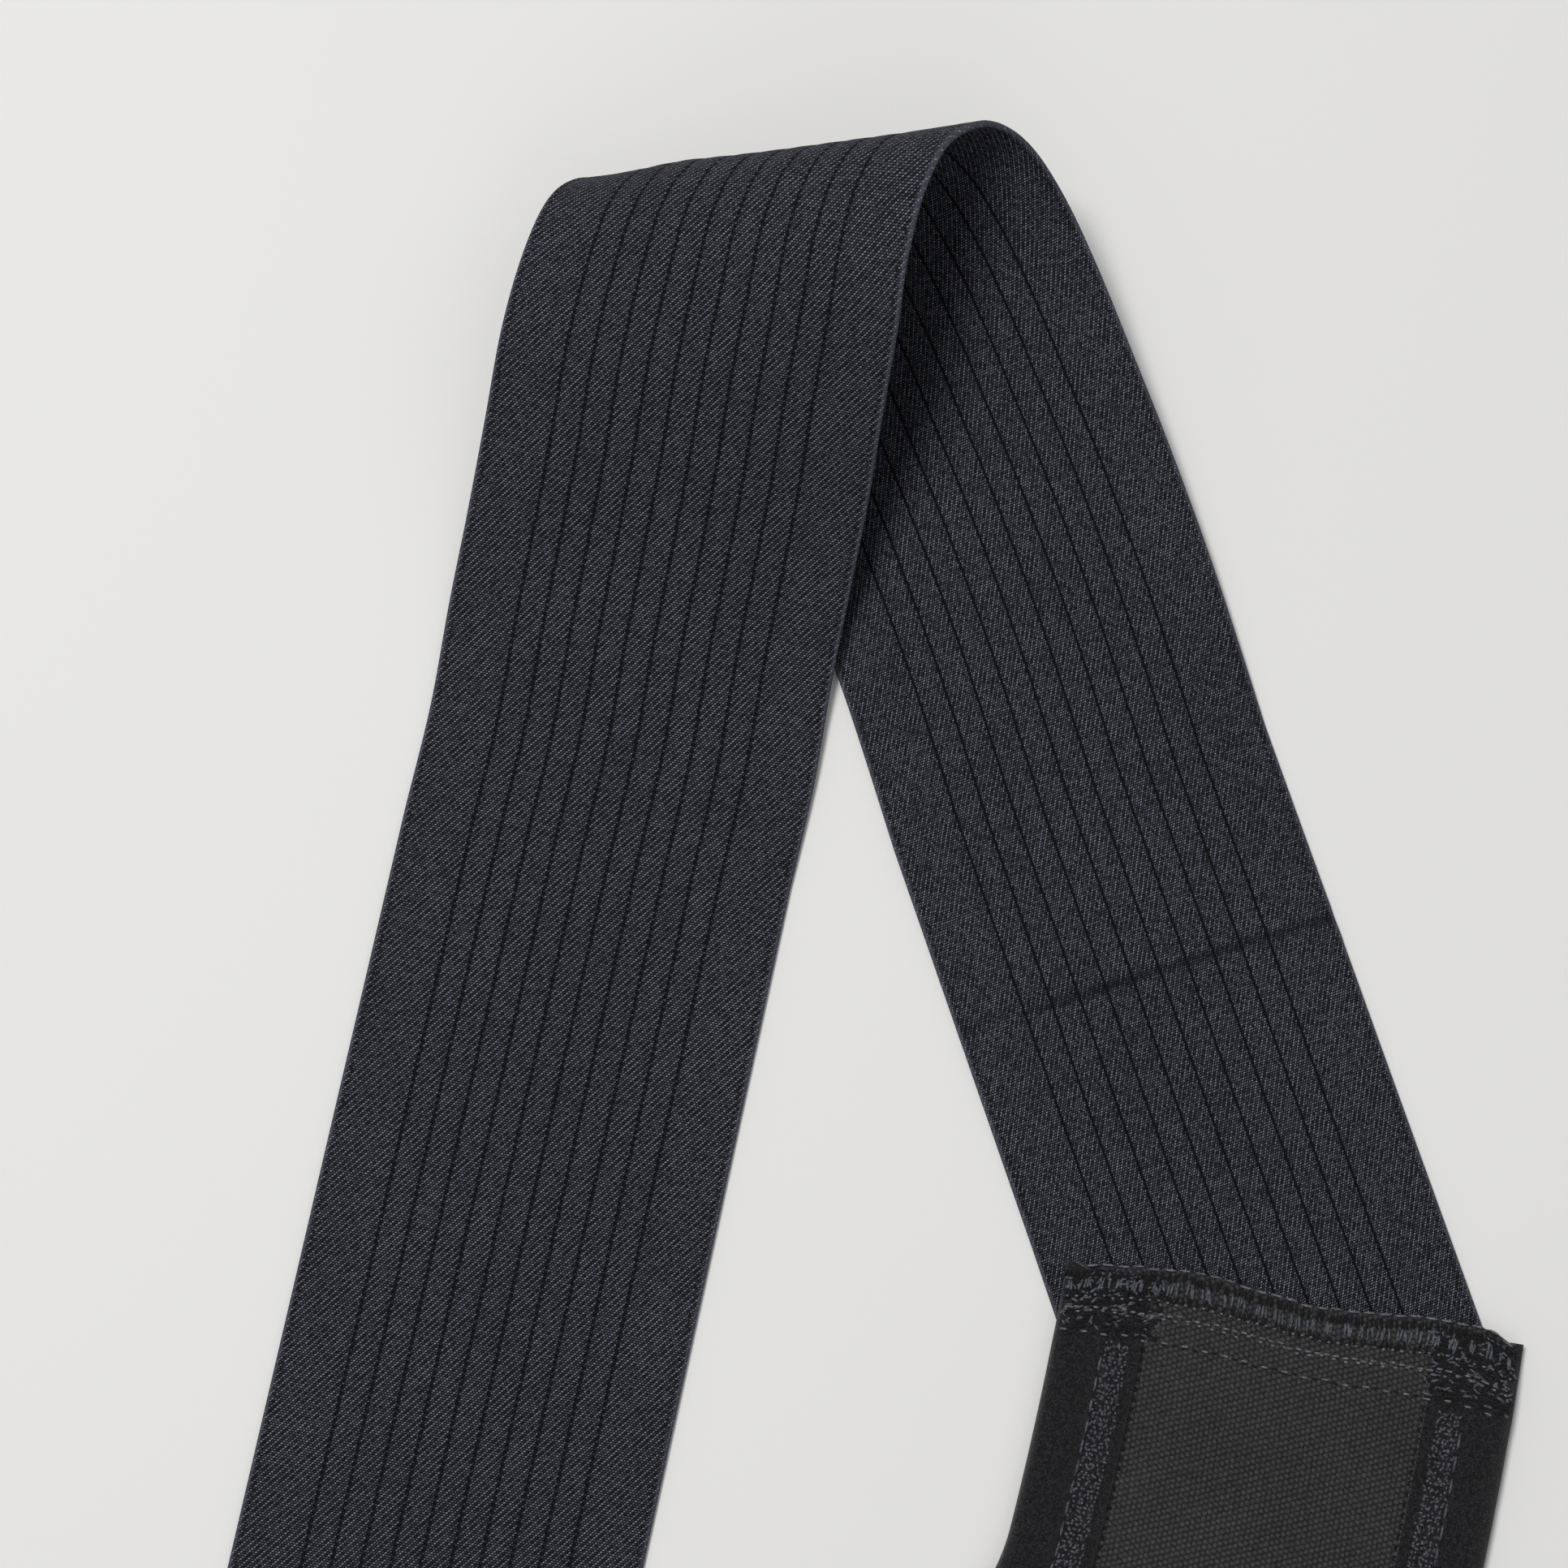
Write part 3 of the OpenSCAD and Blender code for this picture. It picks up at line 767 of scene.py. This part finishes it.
# ------------------------ the edge bindings
# Outline of the wrapped binding: distance in from the panel's edge, and height. First its outer
# face, from the top strip's inner edge round to the lower strip's, then its inner face back.
BINDING_OUTER = [(16.5, 3.66), (16.3, 4.0), (15.3, 4.2), (14.0, 4.12), (13.2, 4.35), (11.5, 4.5),
                 (10.0, 4.4), (9.3, 4.02), (8.5, 4.45), (7, 4.8), (5, 4.95), (3, 4.85), (1.2, 4.4),
                 (0.15, 3.5), (-0.2, 2.4), (0.15, 1.2), (1.0, 0.35), (2.6, 0.03), (6, 0.02), (9.3, 0.14),
                 (12, 0.02), (16.3, 0.05)]
BINDING_INNER = [(16.4, 0.75), (12, 0.8), (6, 0.82), (2, 0.9), (1.15, 1.4), (1.1, 3.0), (2, 3.5),
                 (6, 3.56), (12, 3.58), (16.3, 3.6)]


def resampled(points, count):
    """The outline with its corners eased, as count points evenly along it."""
    p = np.array(points, float)
    for _ in range(2):
        eased = np.stack([0.75 * p[:-1] + 0.25 * p[1:], 0.25 * p[:-1] + 0.75 * p[1:]], 1).reshape(-1, 2)
        p = np.concatenate([p[:1], eased, p[-1:]])
    return evenly(p, count)


def binding_height(u, z):
    """Height on the binding once it is pressed on the strap's end near the seam."""
    low = 1.45 * smooth((np.abs(u) - 156.0) / 4.0)
    top = MESH_TOP - PRESS * pressed(u)
    over = np.maximum(z - MESH_TOP, 0) * (1 - 0.55 * pressed(u))
    return low + np.minimum(z, MESH_TOP) / MESH_TOP * (top - low) + over


BINDING_TOP = resampled(BINDING_OUTER[:13], 60)[::-1]


def on_binding(side, edge, along, inward, lift):
    """Points on the binding's top, at distances along the panel and in from its edge."""
    u = side * along
    reach = reach_to(u, edge)
    z = binding_height(u, np.interp(inward, BINDING_TOP[:, 0], BINDING_TOP[:, 1]))
    return on_panel(u, edge * (reach - inward), z + lift)


def binding(side, edge, which):
    """One edge's plush binding with its stitching, from the spine to the seam."""
    place = "inner" if edge < 0 else "outer"
    wing = which + "_wing"
    outer, inner = resampled(BINDING_OUTER, 44), resampled(BINDING_INNER, 44)
    length = PANEL_HALF - 1.5
    u = np.linspace(0, length, int(length / 1.25))
    u = side * np.concatenate([u[:1], END_ROWS, u[1:]])[:, None]
    reach = reach_to(u, edge)
    nap = 0.07 * ripple(u, outer[None, :, 0] * 3 + outer[None, :, 1], 21 + edge, 1.2)
    end = u + side * 0.6 * np.cos(outer[None, :, 0] * 0.7) * smooth((np.abs(u) - 160) / 12)

    def surface(profile, swell):
        z = binding_height(u, profile[None, :, 1]) + swell
        return on_panel(end, edge * (reach - profile[None, :, 0]), z)

    uv = np.stack([np.broadcast_to(np.linspace(0, 38, 44), nap.shape), np.broadcast_to(u, nap.shape)], -1)
    piece = closed_sheet(f"{which}_side_{place}_binding", surface(outer, nap),
                         surface(inner[::-1], 0 * nap), [PLUSH], uv)
    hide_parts(f"back_binding_{place}", f"{wing}_binding_{place}")
    bend_with_wing(piece, side)

    rng = np.random.default_rng(100 + 2 * side + edge)
    stop = PANEL_HALF - 14.5
    dashes = [on_binding(side, edge, a + np.linspace(0, 3.0, 5), 9.1 + rng.normal(0, 0.06),
                         np.array([-0.05, 0.12, 0.16, 0.12, -0.05]))
              for a in np.arange(1.0, stop - 3, 4.0)]
    loops = []
    for a in np.arange(0.6, stop - 0.5, 0.85):
        for row in np.arange(9.9, 13.8, 0.75):
            turn, size = rng.uniform(0, math.pi), rng.uniform(0.2, 0.5)
            f = np.linspace(-1, 1, 4)
            across, along = row + rng.normal(0, 0.2), a + rng.normal(0, 0.2)
            loops.append(on_binding(side, edge, along + size * f * math.cos(turn),
                                    across + size * f * math.sin(turn),
                                    rng.uniform(-0.12, 0.12) + 0.12 * (1 - f * f)))
    light = threads(f"{which}_side_{place}_cover_stitch", dashes + loops, 0.24, THREAD)
    dots = [on_binding(side, edge, a + np.linspace(0, 1.1, 4), 16.5 + 0.25 * np.array([-1, 1, 1, -1]),
                       np.array([-0.05, 0.1, 0.1, -0.05]) + 0.12)
            for a in np.arange(0.6, stop, 1.9)]
    dark = threads(f"{which}_side_{place}_picot", dots, 0.24, THREAD_DARK)
    for stitches in (light, dark):
        bend_with_wing(stitches, side)


# ------------------------ the seams
def seam_stitches(side, which):
    """Overlocked cut edge with its own row, two more rows, and a dense back-tack at each end."""
    rng = np.random.default_rng(40 + side)
    left, right = -INNER_END + 0.6, OUTER_END - 1.2

    def laid(r, back, lift):
        """Points at r across, back from the cut edge. In front of it they lie on the strap."""
        r, back = np.broadcast_arrays(np.asarray(r, float), np.asarray(back, float))
        u = PANEL_HALF + cut_edge(r) * smooth((24 - back) / 24) - back
        top = np.maximum(mesh_height(u, r), STRAP_T + 0.25)
        inward = np.minimum(r + INNER_END, OUTER_END - r)
        strip = binding_height(u, np.interp(inward, BINDING_TOP[:, 0], BINDING_TOP[:, 1])) + 0.08
        top = np.where(inward < BINDING_W, np.maximum(top, strip), top)
        return on_panel(side * u, r, np.where(back < 0, STRAP_T + 0.2, top) + lift)

    def dashes(back, length, pitch, stray, lift=0.0):
        arch = np.array([-0.12, 0.1, 0.16, 0.1, -0.12]) + lift
        return [laid(r + np.linspace(0, length, 5), back + rng.normal(0, stray), arch)
                for r in np.arange(left, right - length, pitch)]

    def strokes(r0, r1, near, far, pitch, share):
        """Short threads from near to far behind the edge, in tufts that fill a share of the row."""
        f = np.linspace(0, 1, 6)
        return [laid(r + rng.normal(0, 0.25) + rng.normal(0, 0.35) * f,
                     near + rng.normal(0, 0.3) + (far - near) * f, 0.12 + 0.25 * np.sin(math.pi * f))
                for r in np.arange(r0, r1, pitch) if (r / TUFT_PITCH) % 1 < share]

    def scattered(r0, r1, count):
        """Back-tack threads, leaning either way off the seam's line."""
        paths = []
        for _ in range(count):
            turn, size, f = rng.normal(0, 0.5), rng.uniform(0.4, 1.0), np.linspace(-1, 1, 5)
            paths.append(laid(rng.uniform(r0, r1) + size * f * math.cos(turn),
                              rng.uniform(1.2, 13.0) + size * f * math.sin(turn),
                              0.1 + 0.14 * (1 - f * f)))
        return paths

    rows = dashes(0.1, 2.3, 2.9, 0.15, 0.2) + dashes(EDGE_ROW, 0.6, 1.7, 0.15, 0.3)
    rows += dashes(NEAR_ROW - 0.3, 1.3, 1.75, 0.2, 0.22) + dashes(NEAR_ROW + 0.3, 0.8, 2.3, 0.2, 0.22)
    rows += dashes(FAR_ROW, 1.4, 3.8, 0.15, 0.25)
    tufts = strokes(left, right, 2.5, 4.9, 0.42, 0.5)
    tufts += scattered(left, left + 18, 105) + scattered(right - 16, right, 95)
    dark = dashes(FAR_ROW, 1.3, 1.9, 0.15) + dashes(EDGE_ROW - 0.2, 1.2, 1.5, 0.2)
    dark += strokes(left, right, 0.7, 2.6, 0.7, 1.0) + strokes(left, right, 4.8, 6.4, 0.9, 0.9)
    dark += scattered(left, left + 18, 330) + scattered(right - 16, right, 300)
    for name, paths, radius, material in (("seam_rows", rows, 0.22, THREAD_PALE),
                                          ("seam_stitches", tufts, 0.25, THREAD),
                                          ("seam_under_stitches", dark, 0.23, THREAD_DARK)):
        piece = threads(f"{which}_{name}", paths, radius, material)
        settle(piece, "thread", which + "_wing", f"{which}_seam_stitching")


# ------------------------ stay pockets
def stay_pocket(number, u):
    """Tape sewn over a stay: flat flanges, and a hump that closes at both ends."""
    length = inner_reach(u) + outer_reach(u) - 2 * POCKET_END
    middle = on_panel(u, (outer_reach(u) - inner_reach(u)) / 2, 0.0)
    out = on_panel(u, 1.0, 0.0) - on_panel(u, 0.0, 0.0)
    way = np.array([-out[1], out[0], 0.0])

    def placed(x, y, z):
        x, y, z = np.broadcast_arrays(x, y, z)
        return middle + x[..., None] * out + y[..., None] * way + z[..., None] * [0.0, 0.0, 1.0]

    def tape_top(x, y):
        """Flat flanges, and a hump that clears the stay and its rounded caps all round."""
        past_stay = np.hypot(np.maximum(np.abs(x) - (length / 2 - STAY_INSET), 0), y) - STAY_REACH
        return MESH_TOP + 0.85 + 1.6 * smooth(1 - past_stay / 1.9)

    x = np.linspace(-length / 2, length / 2, 160)[:, None]
    y = np.linspace(-POCKET_W / 2, POCKET_W / 2, 46)[None]
    rim_drop = 0.5 * (1 - smooth((POCKET_W / 2 - np.abs(y)) / 0.5) * smooth((length / 2 - np.abs(x)) / 0.5))
    pull = 0.14 * bump(np.abs(y), POCKET_ROW, 0.8)
    top = tape_top(x, y) - rim_drop - pull + 0.05 * ripple(x, y, 50 + number, 5.0)
    uv = np.stack(np.broadcast_arrays(y, x), -1)
    piece = closed_sheet(f"stay_pocket_{number}_tape", placed(x, y, top),
                         placed(x, y, MESH_TOP - 0.1 + 0 * top), [TAPE], uv)
    settle(piece, "pocket", "back", f"stay_pocket_{number}")

    arch = np.array([-0.1, 0.08, 0.12, 0.08, -0.1]) + 0.02
    paths = [placed(a + np.linspace(0, 2.1, 5), np.full(5, s * POCKET_ROW), MESH_TOP + 0.76 + arch)
             for s in (-1, 1) for a in np.arange(-length / 2 + 1.5, length / 2 - 3, 2.9)]
    for s in (-1, 1):
        f = np.linspace(-7.2, 7.2, 90)
        across_end = s * (length / 2 - 1.0) + 0.5 * np.sin(f * 4.4)
        paths.append(placed(across_end, f, tape_top(across_end, f) + 0.08))
    settle(threads(f"stay_pocket_{number}_stitches", paths, 0.17, THREAD), "thread", "back")


# ------------------------ the fastening tabs
def turned(origin, yaw, x, y, z):
    """A place x across and y along from an origin, on axes turned by yaw."""
    x, y, z = np.broadcast_arrays(x, y, z)
    c, s = math.cos(yaw), math.sin(yaw)
    return np.stack([origin[0] + x * c - y * s, origin[1] + x * s + y * c, z], -1)


def mirrored(p):
    """The mirror image about the line across the panel at the spine."""
    c, s = math.cos(2 * PANEL_TURN), math.sin(2 * PANEL_TURN)
    return np.stack([c * p[..., 0] + s * p[..., 1], s * p[..., 0] - c * p[..., 1], p[..., 2]], -1)


def at_hook(x, y, z):
    """Hook tab's own place: x across it, y towards its tip."""
    return turned(TAIL_TIP, TAIL_YAW + math.pi, x, y, z)


def at_landing(x, y, z):
    """Landing tab's own place: x across it, y towards its hem."""
    return mirrored(turned(SEAM_MID, LEG_YAW, x, y, z))


# A tab's or patch's shape is its width, the two distances y0 and y1 that it spans along the tab,
# and the radius of its round corners at y1.
def half_width(y, shape):
    """Half the width of a shape at distances along it."""
    width, _, y1, corner = shape
    past = np.clip(y - (y1 - corner), 0, corner)
    return width / 2 - corner + np.sqrt(corner ** 2 - past ** 2)


def patch(name, place, shape, z0, z1, material, pile, step=1.2):
    """A flat piece with softly rounded edges and an uneven pile on top."""
    width, y0, y1, corner = shape
    tip = y1 - corner * (1 - np.cos(np.linspace(0, math.pi / 2, 12)))[::-1]
    start = y0 + np.array([0, 0.12, 0.4, 0.9])
    y = np.sort(np.concatenate([start, np.arange(y0 + 1.6, y1 - corner - 0.6, step), tip]))[:, None]
    half = half_width(y, shape)
    across = np.sin(np.linspace(-1, 1, int(width / step))[None] * math.pi / 2)
    across = 0.35 * across + 0.65 * np.linspace(-1, 1, across.shape[1])[None]
    x = across * half
    edge = np.minimum(np.minimum(y - y0, y1 - y), half - np.abs(x))
    body = np.sqrt(np.clip(1 - (1 - np.clip(edge / 0.7, 0, 1)) ** 2, 0.04, 1))
    centre, thick = (z0 + z1) / 2, (z1 - z0) / 2
    rough = pile * ripple(x, y + 0 * x, 77, 0.8) * smooth(edge / 1.0)
    top, bottom = centre + thick * body + rough, centre - thick * body
    uv = np.stack(np.broadcast_arrays(x, y), -1)
    return closed_sheet(name, place(x, y, top), place(x, y, bottom), [material], uv)


def rim(shape, inset, count):
    """Evenly spaced points round a shape's outline, set in from it, and the outline's length."""
    width, y0, y1, corner = shape
    w, c = width / 2 - inset, max(corner - inset, 0.5)
    a = np.linspace(0, math.pi / 2, 10)
    right = np.stack([w - c + c * np.cos(a), y1 - inset - c + c * np.sin(a)], -1)
    left = np.stack([-(w - c) - c * np.sin(a), y1 - inset - c + c * np.cos(a)], -1)
    loop_points = np.concatenate([[[w, y0 + inset]], right, left, [[-w, y0 + inset]], [[w, y0 + inset]]])
    return evenly(loop_points, count), distances(loop_points)[-1]


def border_stitches(name, place, shape, inset, z, body, *nodes):
    """A row of lock stitches round a patch."""
    fine, length = rim(shape, inset, 4000)
    count = int(length / 2.6)
    paths = []
    for i in range(count):
        k = (np.linspace(i, i + 0.72, 5) / count * 3999).astype(int)
        paths.append(place(fine[k, 0], fine[k, 1], z + ARCH))
    settle(threads(name, paths, 0.2, THREAD), "thread", body, *nodes)


def edge_overlock(name, place, shape, thick, body):
    """Merrowed edge: thread wound over the edge all round."""
    outer, length = rim(shape, -0.15, 6000)
    inner, _ = rim(shape, 1.9, 6000)
    count = int(length / 1.1)
    paths = []
    for i in range(count):
        a, b = int((i + 0.1) / count * 5999), int((i + 0.75) / count * 5999)
        p = np.array([[*inner[a], thick + 0.05], [*(inner[a] * 0.6 + outer[a] * 0.4), thick + 0.22],
                      [*outer[a], thick * 0.75], [*outer[a], thick * 0.25],
                      [*(inner[b] * 0.5 + outer[b] * 0.5), 0.02]])
        paths.append(place(p[:, 0], p[:, 1], np.maximum(p[:, 2], 0.18)))
    settle(threads(name, paths, 0.17, THREAD_DARK), "thread", body)


def hook_end():
    """Stiff hook tab with a field of small hooks."""
    tab = patch("hook_tab_body", at_hook, (STRAP_W, 0.1, HOOK_TAB_LEN, HOOK_TAB_CORNER), CLEAR,
                HOOK_TAB_T, LINING, 0.03)
    settle(tab, "lining", "hook_end", "hook_tab")
    width, y0, y1 = STRAP_W - 2 * PATCH_MARGIN, PATCH_MARGIN, HOOK_TAB_LEN - PATCH_MARGIN
    shape = (width, y0, y1, HOOK_PATCH_CORNER)
    base = patch("hook_patch_base", at_hook, shape, HOOK_TAB_T, HOOK_TAB_T + HOOK_BASE_T, HOOK, 0.01)
    settle(base, "hook", "hook_end", "hook_patch")
    hooks = []
    for j, y in enumerate(np.arange(y0 + 4.6, y1 - 4.4, 1.55)):
        for x in np.arange(-width / 2 + 4.8, width / 2 - 4.6, 1.5):
            x = x + 0.75 * (j % 2)
            if abs(x) > half_width(y, shape) - 4.4:
                continue
            lean = 1 if j % 2 else -1
            arc = np.array([[0, 0.45], [0.02, 0.95], [0.12, 1.25], [0.34, 1.36], [0.52, 1.16]])
            hooks.append(at_hook(np.full(5, x), y + lean * arc[:, 0], HOOK_TAB_T + arc[:, 1]))
    settle(threads("hook_patch_hooks", hooks, 0.13, HOOK), "hook", "hook_end")
    border_stitches("hook_patch_border_stitches", at_hook, shape, 3.0, HOOK_TAB_T + 0.62, "hook_end",
                    "hook_patch_stitching")
    edge_overlock("hook_tab_overlock", at_hook, (STRAP_W, 0.4, HOOK_TAB_LEN, HOOK_TAB_CORNER),
                  HOOK_TAB_T, "hook_end")


def landing_end():
    """Landing tab: ribbed elastic from the seam to a turned hem, with a loop patch."""
    start, end = -TUCKED / SEAM_COS - ACROSS * SEAM_SKEW, LANDING_LEN - HEM_LEN + 0.3
    f = np.linspace(0, 1, 116)[:, None]
    y = start + (end - start) * f
    middle = STRAP_T / 2 + CLEAR
    uv = np.stack([COLUMNS + 0 * y, y + LANDING_UV], -1)
    tab = closed_sheet("elastic_landing_tab", at_landing(ACROSS, y, middle + strap_section(GROOVE_TOP)),
                       at_landing(ACROSS, y, middle - strap_section(GROOVE_UNDER)),
                       [ELASTIC_PLAIN, ELASTIC_TWILL], uv, (0, 1))
    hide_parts("landing_tab", "tab_sewn_end")
    seam = at_landing(0.0, 0.0, 0.0)
    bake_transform(tab)

    turn = np.linspace(-math.pi / 2, math.pi / 2, 9)
    y0, r = LANDING_LEN - HEM_LEN, STRAP_T
    fold = np.stack([LANDING_LEN - r + r * np.cos(turn), r + 0.03 + (r - 0.03) * np.sin(turn)], -1)
    over = [[y0 + 6, 2 * r], [y0 + 3, 2 * r], [y0 + 0.4, 2 * r - 0.1], [y0 + 0.02, 2 * r - 0.5]]
    path = resampled(np.concatenate([[[y0, 0.03], [y0 + 4, 0.03]], fold, over]), 40)
    inside = np.clip(path, [y0 + 0.05, 0.6], [LANDING_LEN - 1.0, 2 * r - 0.6])
    inward = np.sign(r - path[:, 1:])
    z = path[:, 1:] + inward * 0.35 * np.exp(-(FROM_EDGE / 0.5) ** 2)
    groove = (strap_section(0.0) - strap_section(0.16))[None] * inward
    uv = np.stack([COLUMNS + 0 * path[:, :1], LANDING_UV + path[:, :1] + 2 * path[:, 1:] + 0 * COLUMNS], -1)
    hem = closed_sheet("elastic_landing_hem", at_landing(ACROSS, path[:, :1], z + groove),
                       at_landing(ACROSS, inside[:, :1], inside[:, 1:]), [ELASTIC_PLAIN], uv)
    settle(hem, "elastic", "landing_end", "landing_tab_hem")

    rows = [at_landing(a + np.linspace(0, 2.0, 5), np.full(5, y0 + back), 2 * r + CLEAR + ARCH)
            for back in (1.6, 4.2) for a in np.arange(-STRAP_W / 2 + 1, STRAP_W / 2 - 3, 2.9)]
    settle(threads("landing_hem_stitches", rows, 0.2, THREAD), "thread", "landing_end")

    width, y0, y1 = STRAP_W - 2 * PATCH_MARGIN, LOOP_PATCH_FROM, LANDING_LEN - HEM_LEN - 2
    patch_top = STRAP_T + PATCH_T
    shape = (width, y0, y1, LOOP_PATCH_CORNER)
    pile = patch("loop_patch_pile", at_landing, shape, STRAP_T, patch_top, LOOP_PILE, 0.10, 0.8)
    settle(pile, "loop", "landing_end", "loop_patch")
    border_stitches("loop_patch_border_stitches", at_landing, shape, 3.5, patch_top + CLEAR,
                    "landing_end", "loop_patch_stitching")


# ------------------------ the belt
lower_leg()
loop()
upper_leg()
for side, which in ((1, "strap"), (-1, "tab")):
    panel_half(side, which)
    for edge in (-1, 1):
        binding(side, edge, which)
    seam_stitches(side, which)
for number, u in enumerate((-STAY_US[1], -STAY_US[0], STAY_US[0], STAY_US[1]), 1):
    stay_pocket(number, u)
hook_end()
landing_end()

# Stays and their caps keep their own shape, inside the pockets
for node, look in [(f"stay_{n}", STEEL) for n in (1, 2, 3, 4)] + [("stay_caps", CAP)]:
    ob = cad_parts[node]
    ob.data.materials.clear()
    ob.data.materials.append(look)


# ------------------------ floor, light and camera
def studio():
    """Pale paper floor, soft light from above, and the camera."""
    size = 6.0
    me = bpy.data.meshes.new("floor")
    corners = [(-size, -size, 0), (size, -size, 0), (size, size, 0), (-size, size, 0)]
    me.from_pydata(corners, [], [(0, 1, 2, 3)])
    floor = bpy.data.objects.new("floor", me)
    floor.location.z = -0.0001
    bpy.context.scene.collection.objects.link(floor)
    paper = bpy.data.materials.new("pale_paper")
    paper.use_nodes = True
    shader = paper.node_tree.nodes["Principled BSDF"]
    shader.inputs["Base Color"].default_value = (0.81, 0.802, 0.79, 1)
    shader.inputs["Roughness"].default_value = 0.9
    shader.inputs["Specular IOR Level"].default_value = 0.1
    me.materials.append(paper)

    world = bpy.data.worlds.new("studio")
    world.use_nodes = True
    world.node_tree.nodes["Background"].inputs[0].default_value = (0.97, 0.98, 1.0, 1)
    world.node_tree.nodes["Background"].inputs[1].default_value = 0.30
    bpy.context.scene.world = world

    for name, place, target, width, watts in (
            ("key", (-0.56, 0.62, 1.75), (-0.03, 0.20, 0.0), 0.55, 23.5),
            ("fill", (0.3, -1.3, 1.6), (0.0, 0.1, 0.0), 1.4, 3.0)):
        light = bpy.data.lights.new(name, "AREA")
        light.size = width
        light.energy = watts
        ob = bpy.data.objects.new(name, light)
        ob.location = place
        way = np.array(target) - np.array(place)
        ob.rotation_euler = Vector(way).to_track_quat("-Z", "Y").to_euler()
        bpy.context.scene.collection.objects.link(ob)

    lens = bpy.data.cameras.new("camera")
    lens.lens = 78.35
    lens.sensor_width = 36
    camera = bpy.data.objects.new("camera", lens)
    camera.location = (-0.036, 0.1703, 0.6454)
    camera.rotation_euler = (math.radians(8), 0, 0)
    bpy.context.scene.collection.objects.link(camera)
    bpy.context.scene.camera = camera
    bpy.context.scene.view_settings.view_transform = "Standard"


studio()
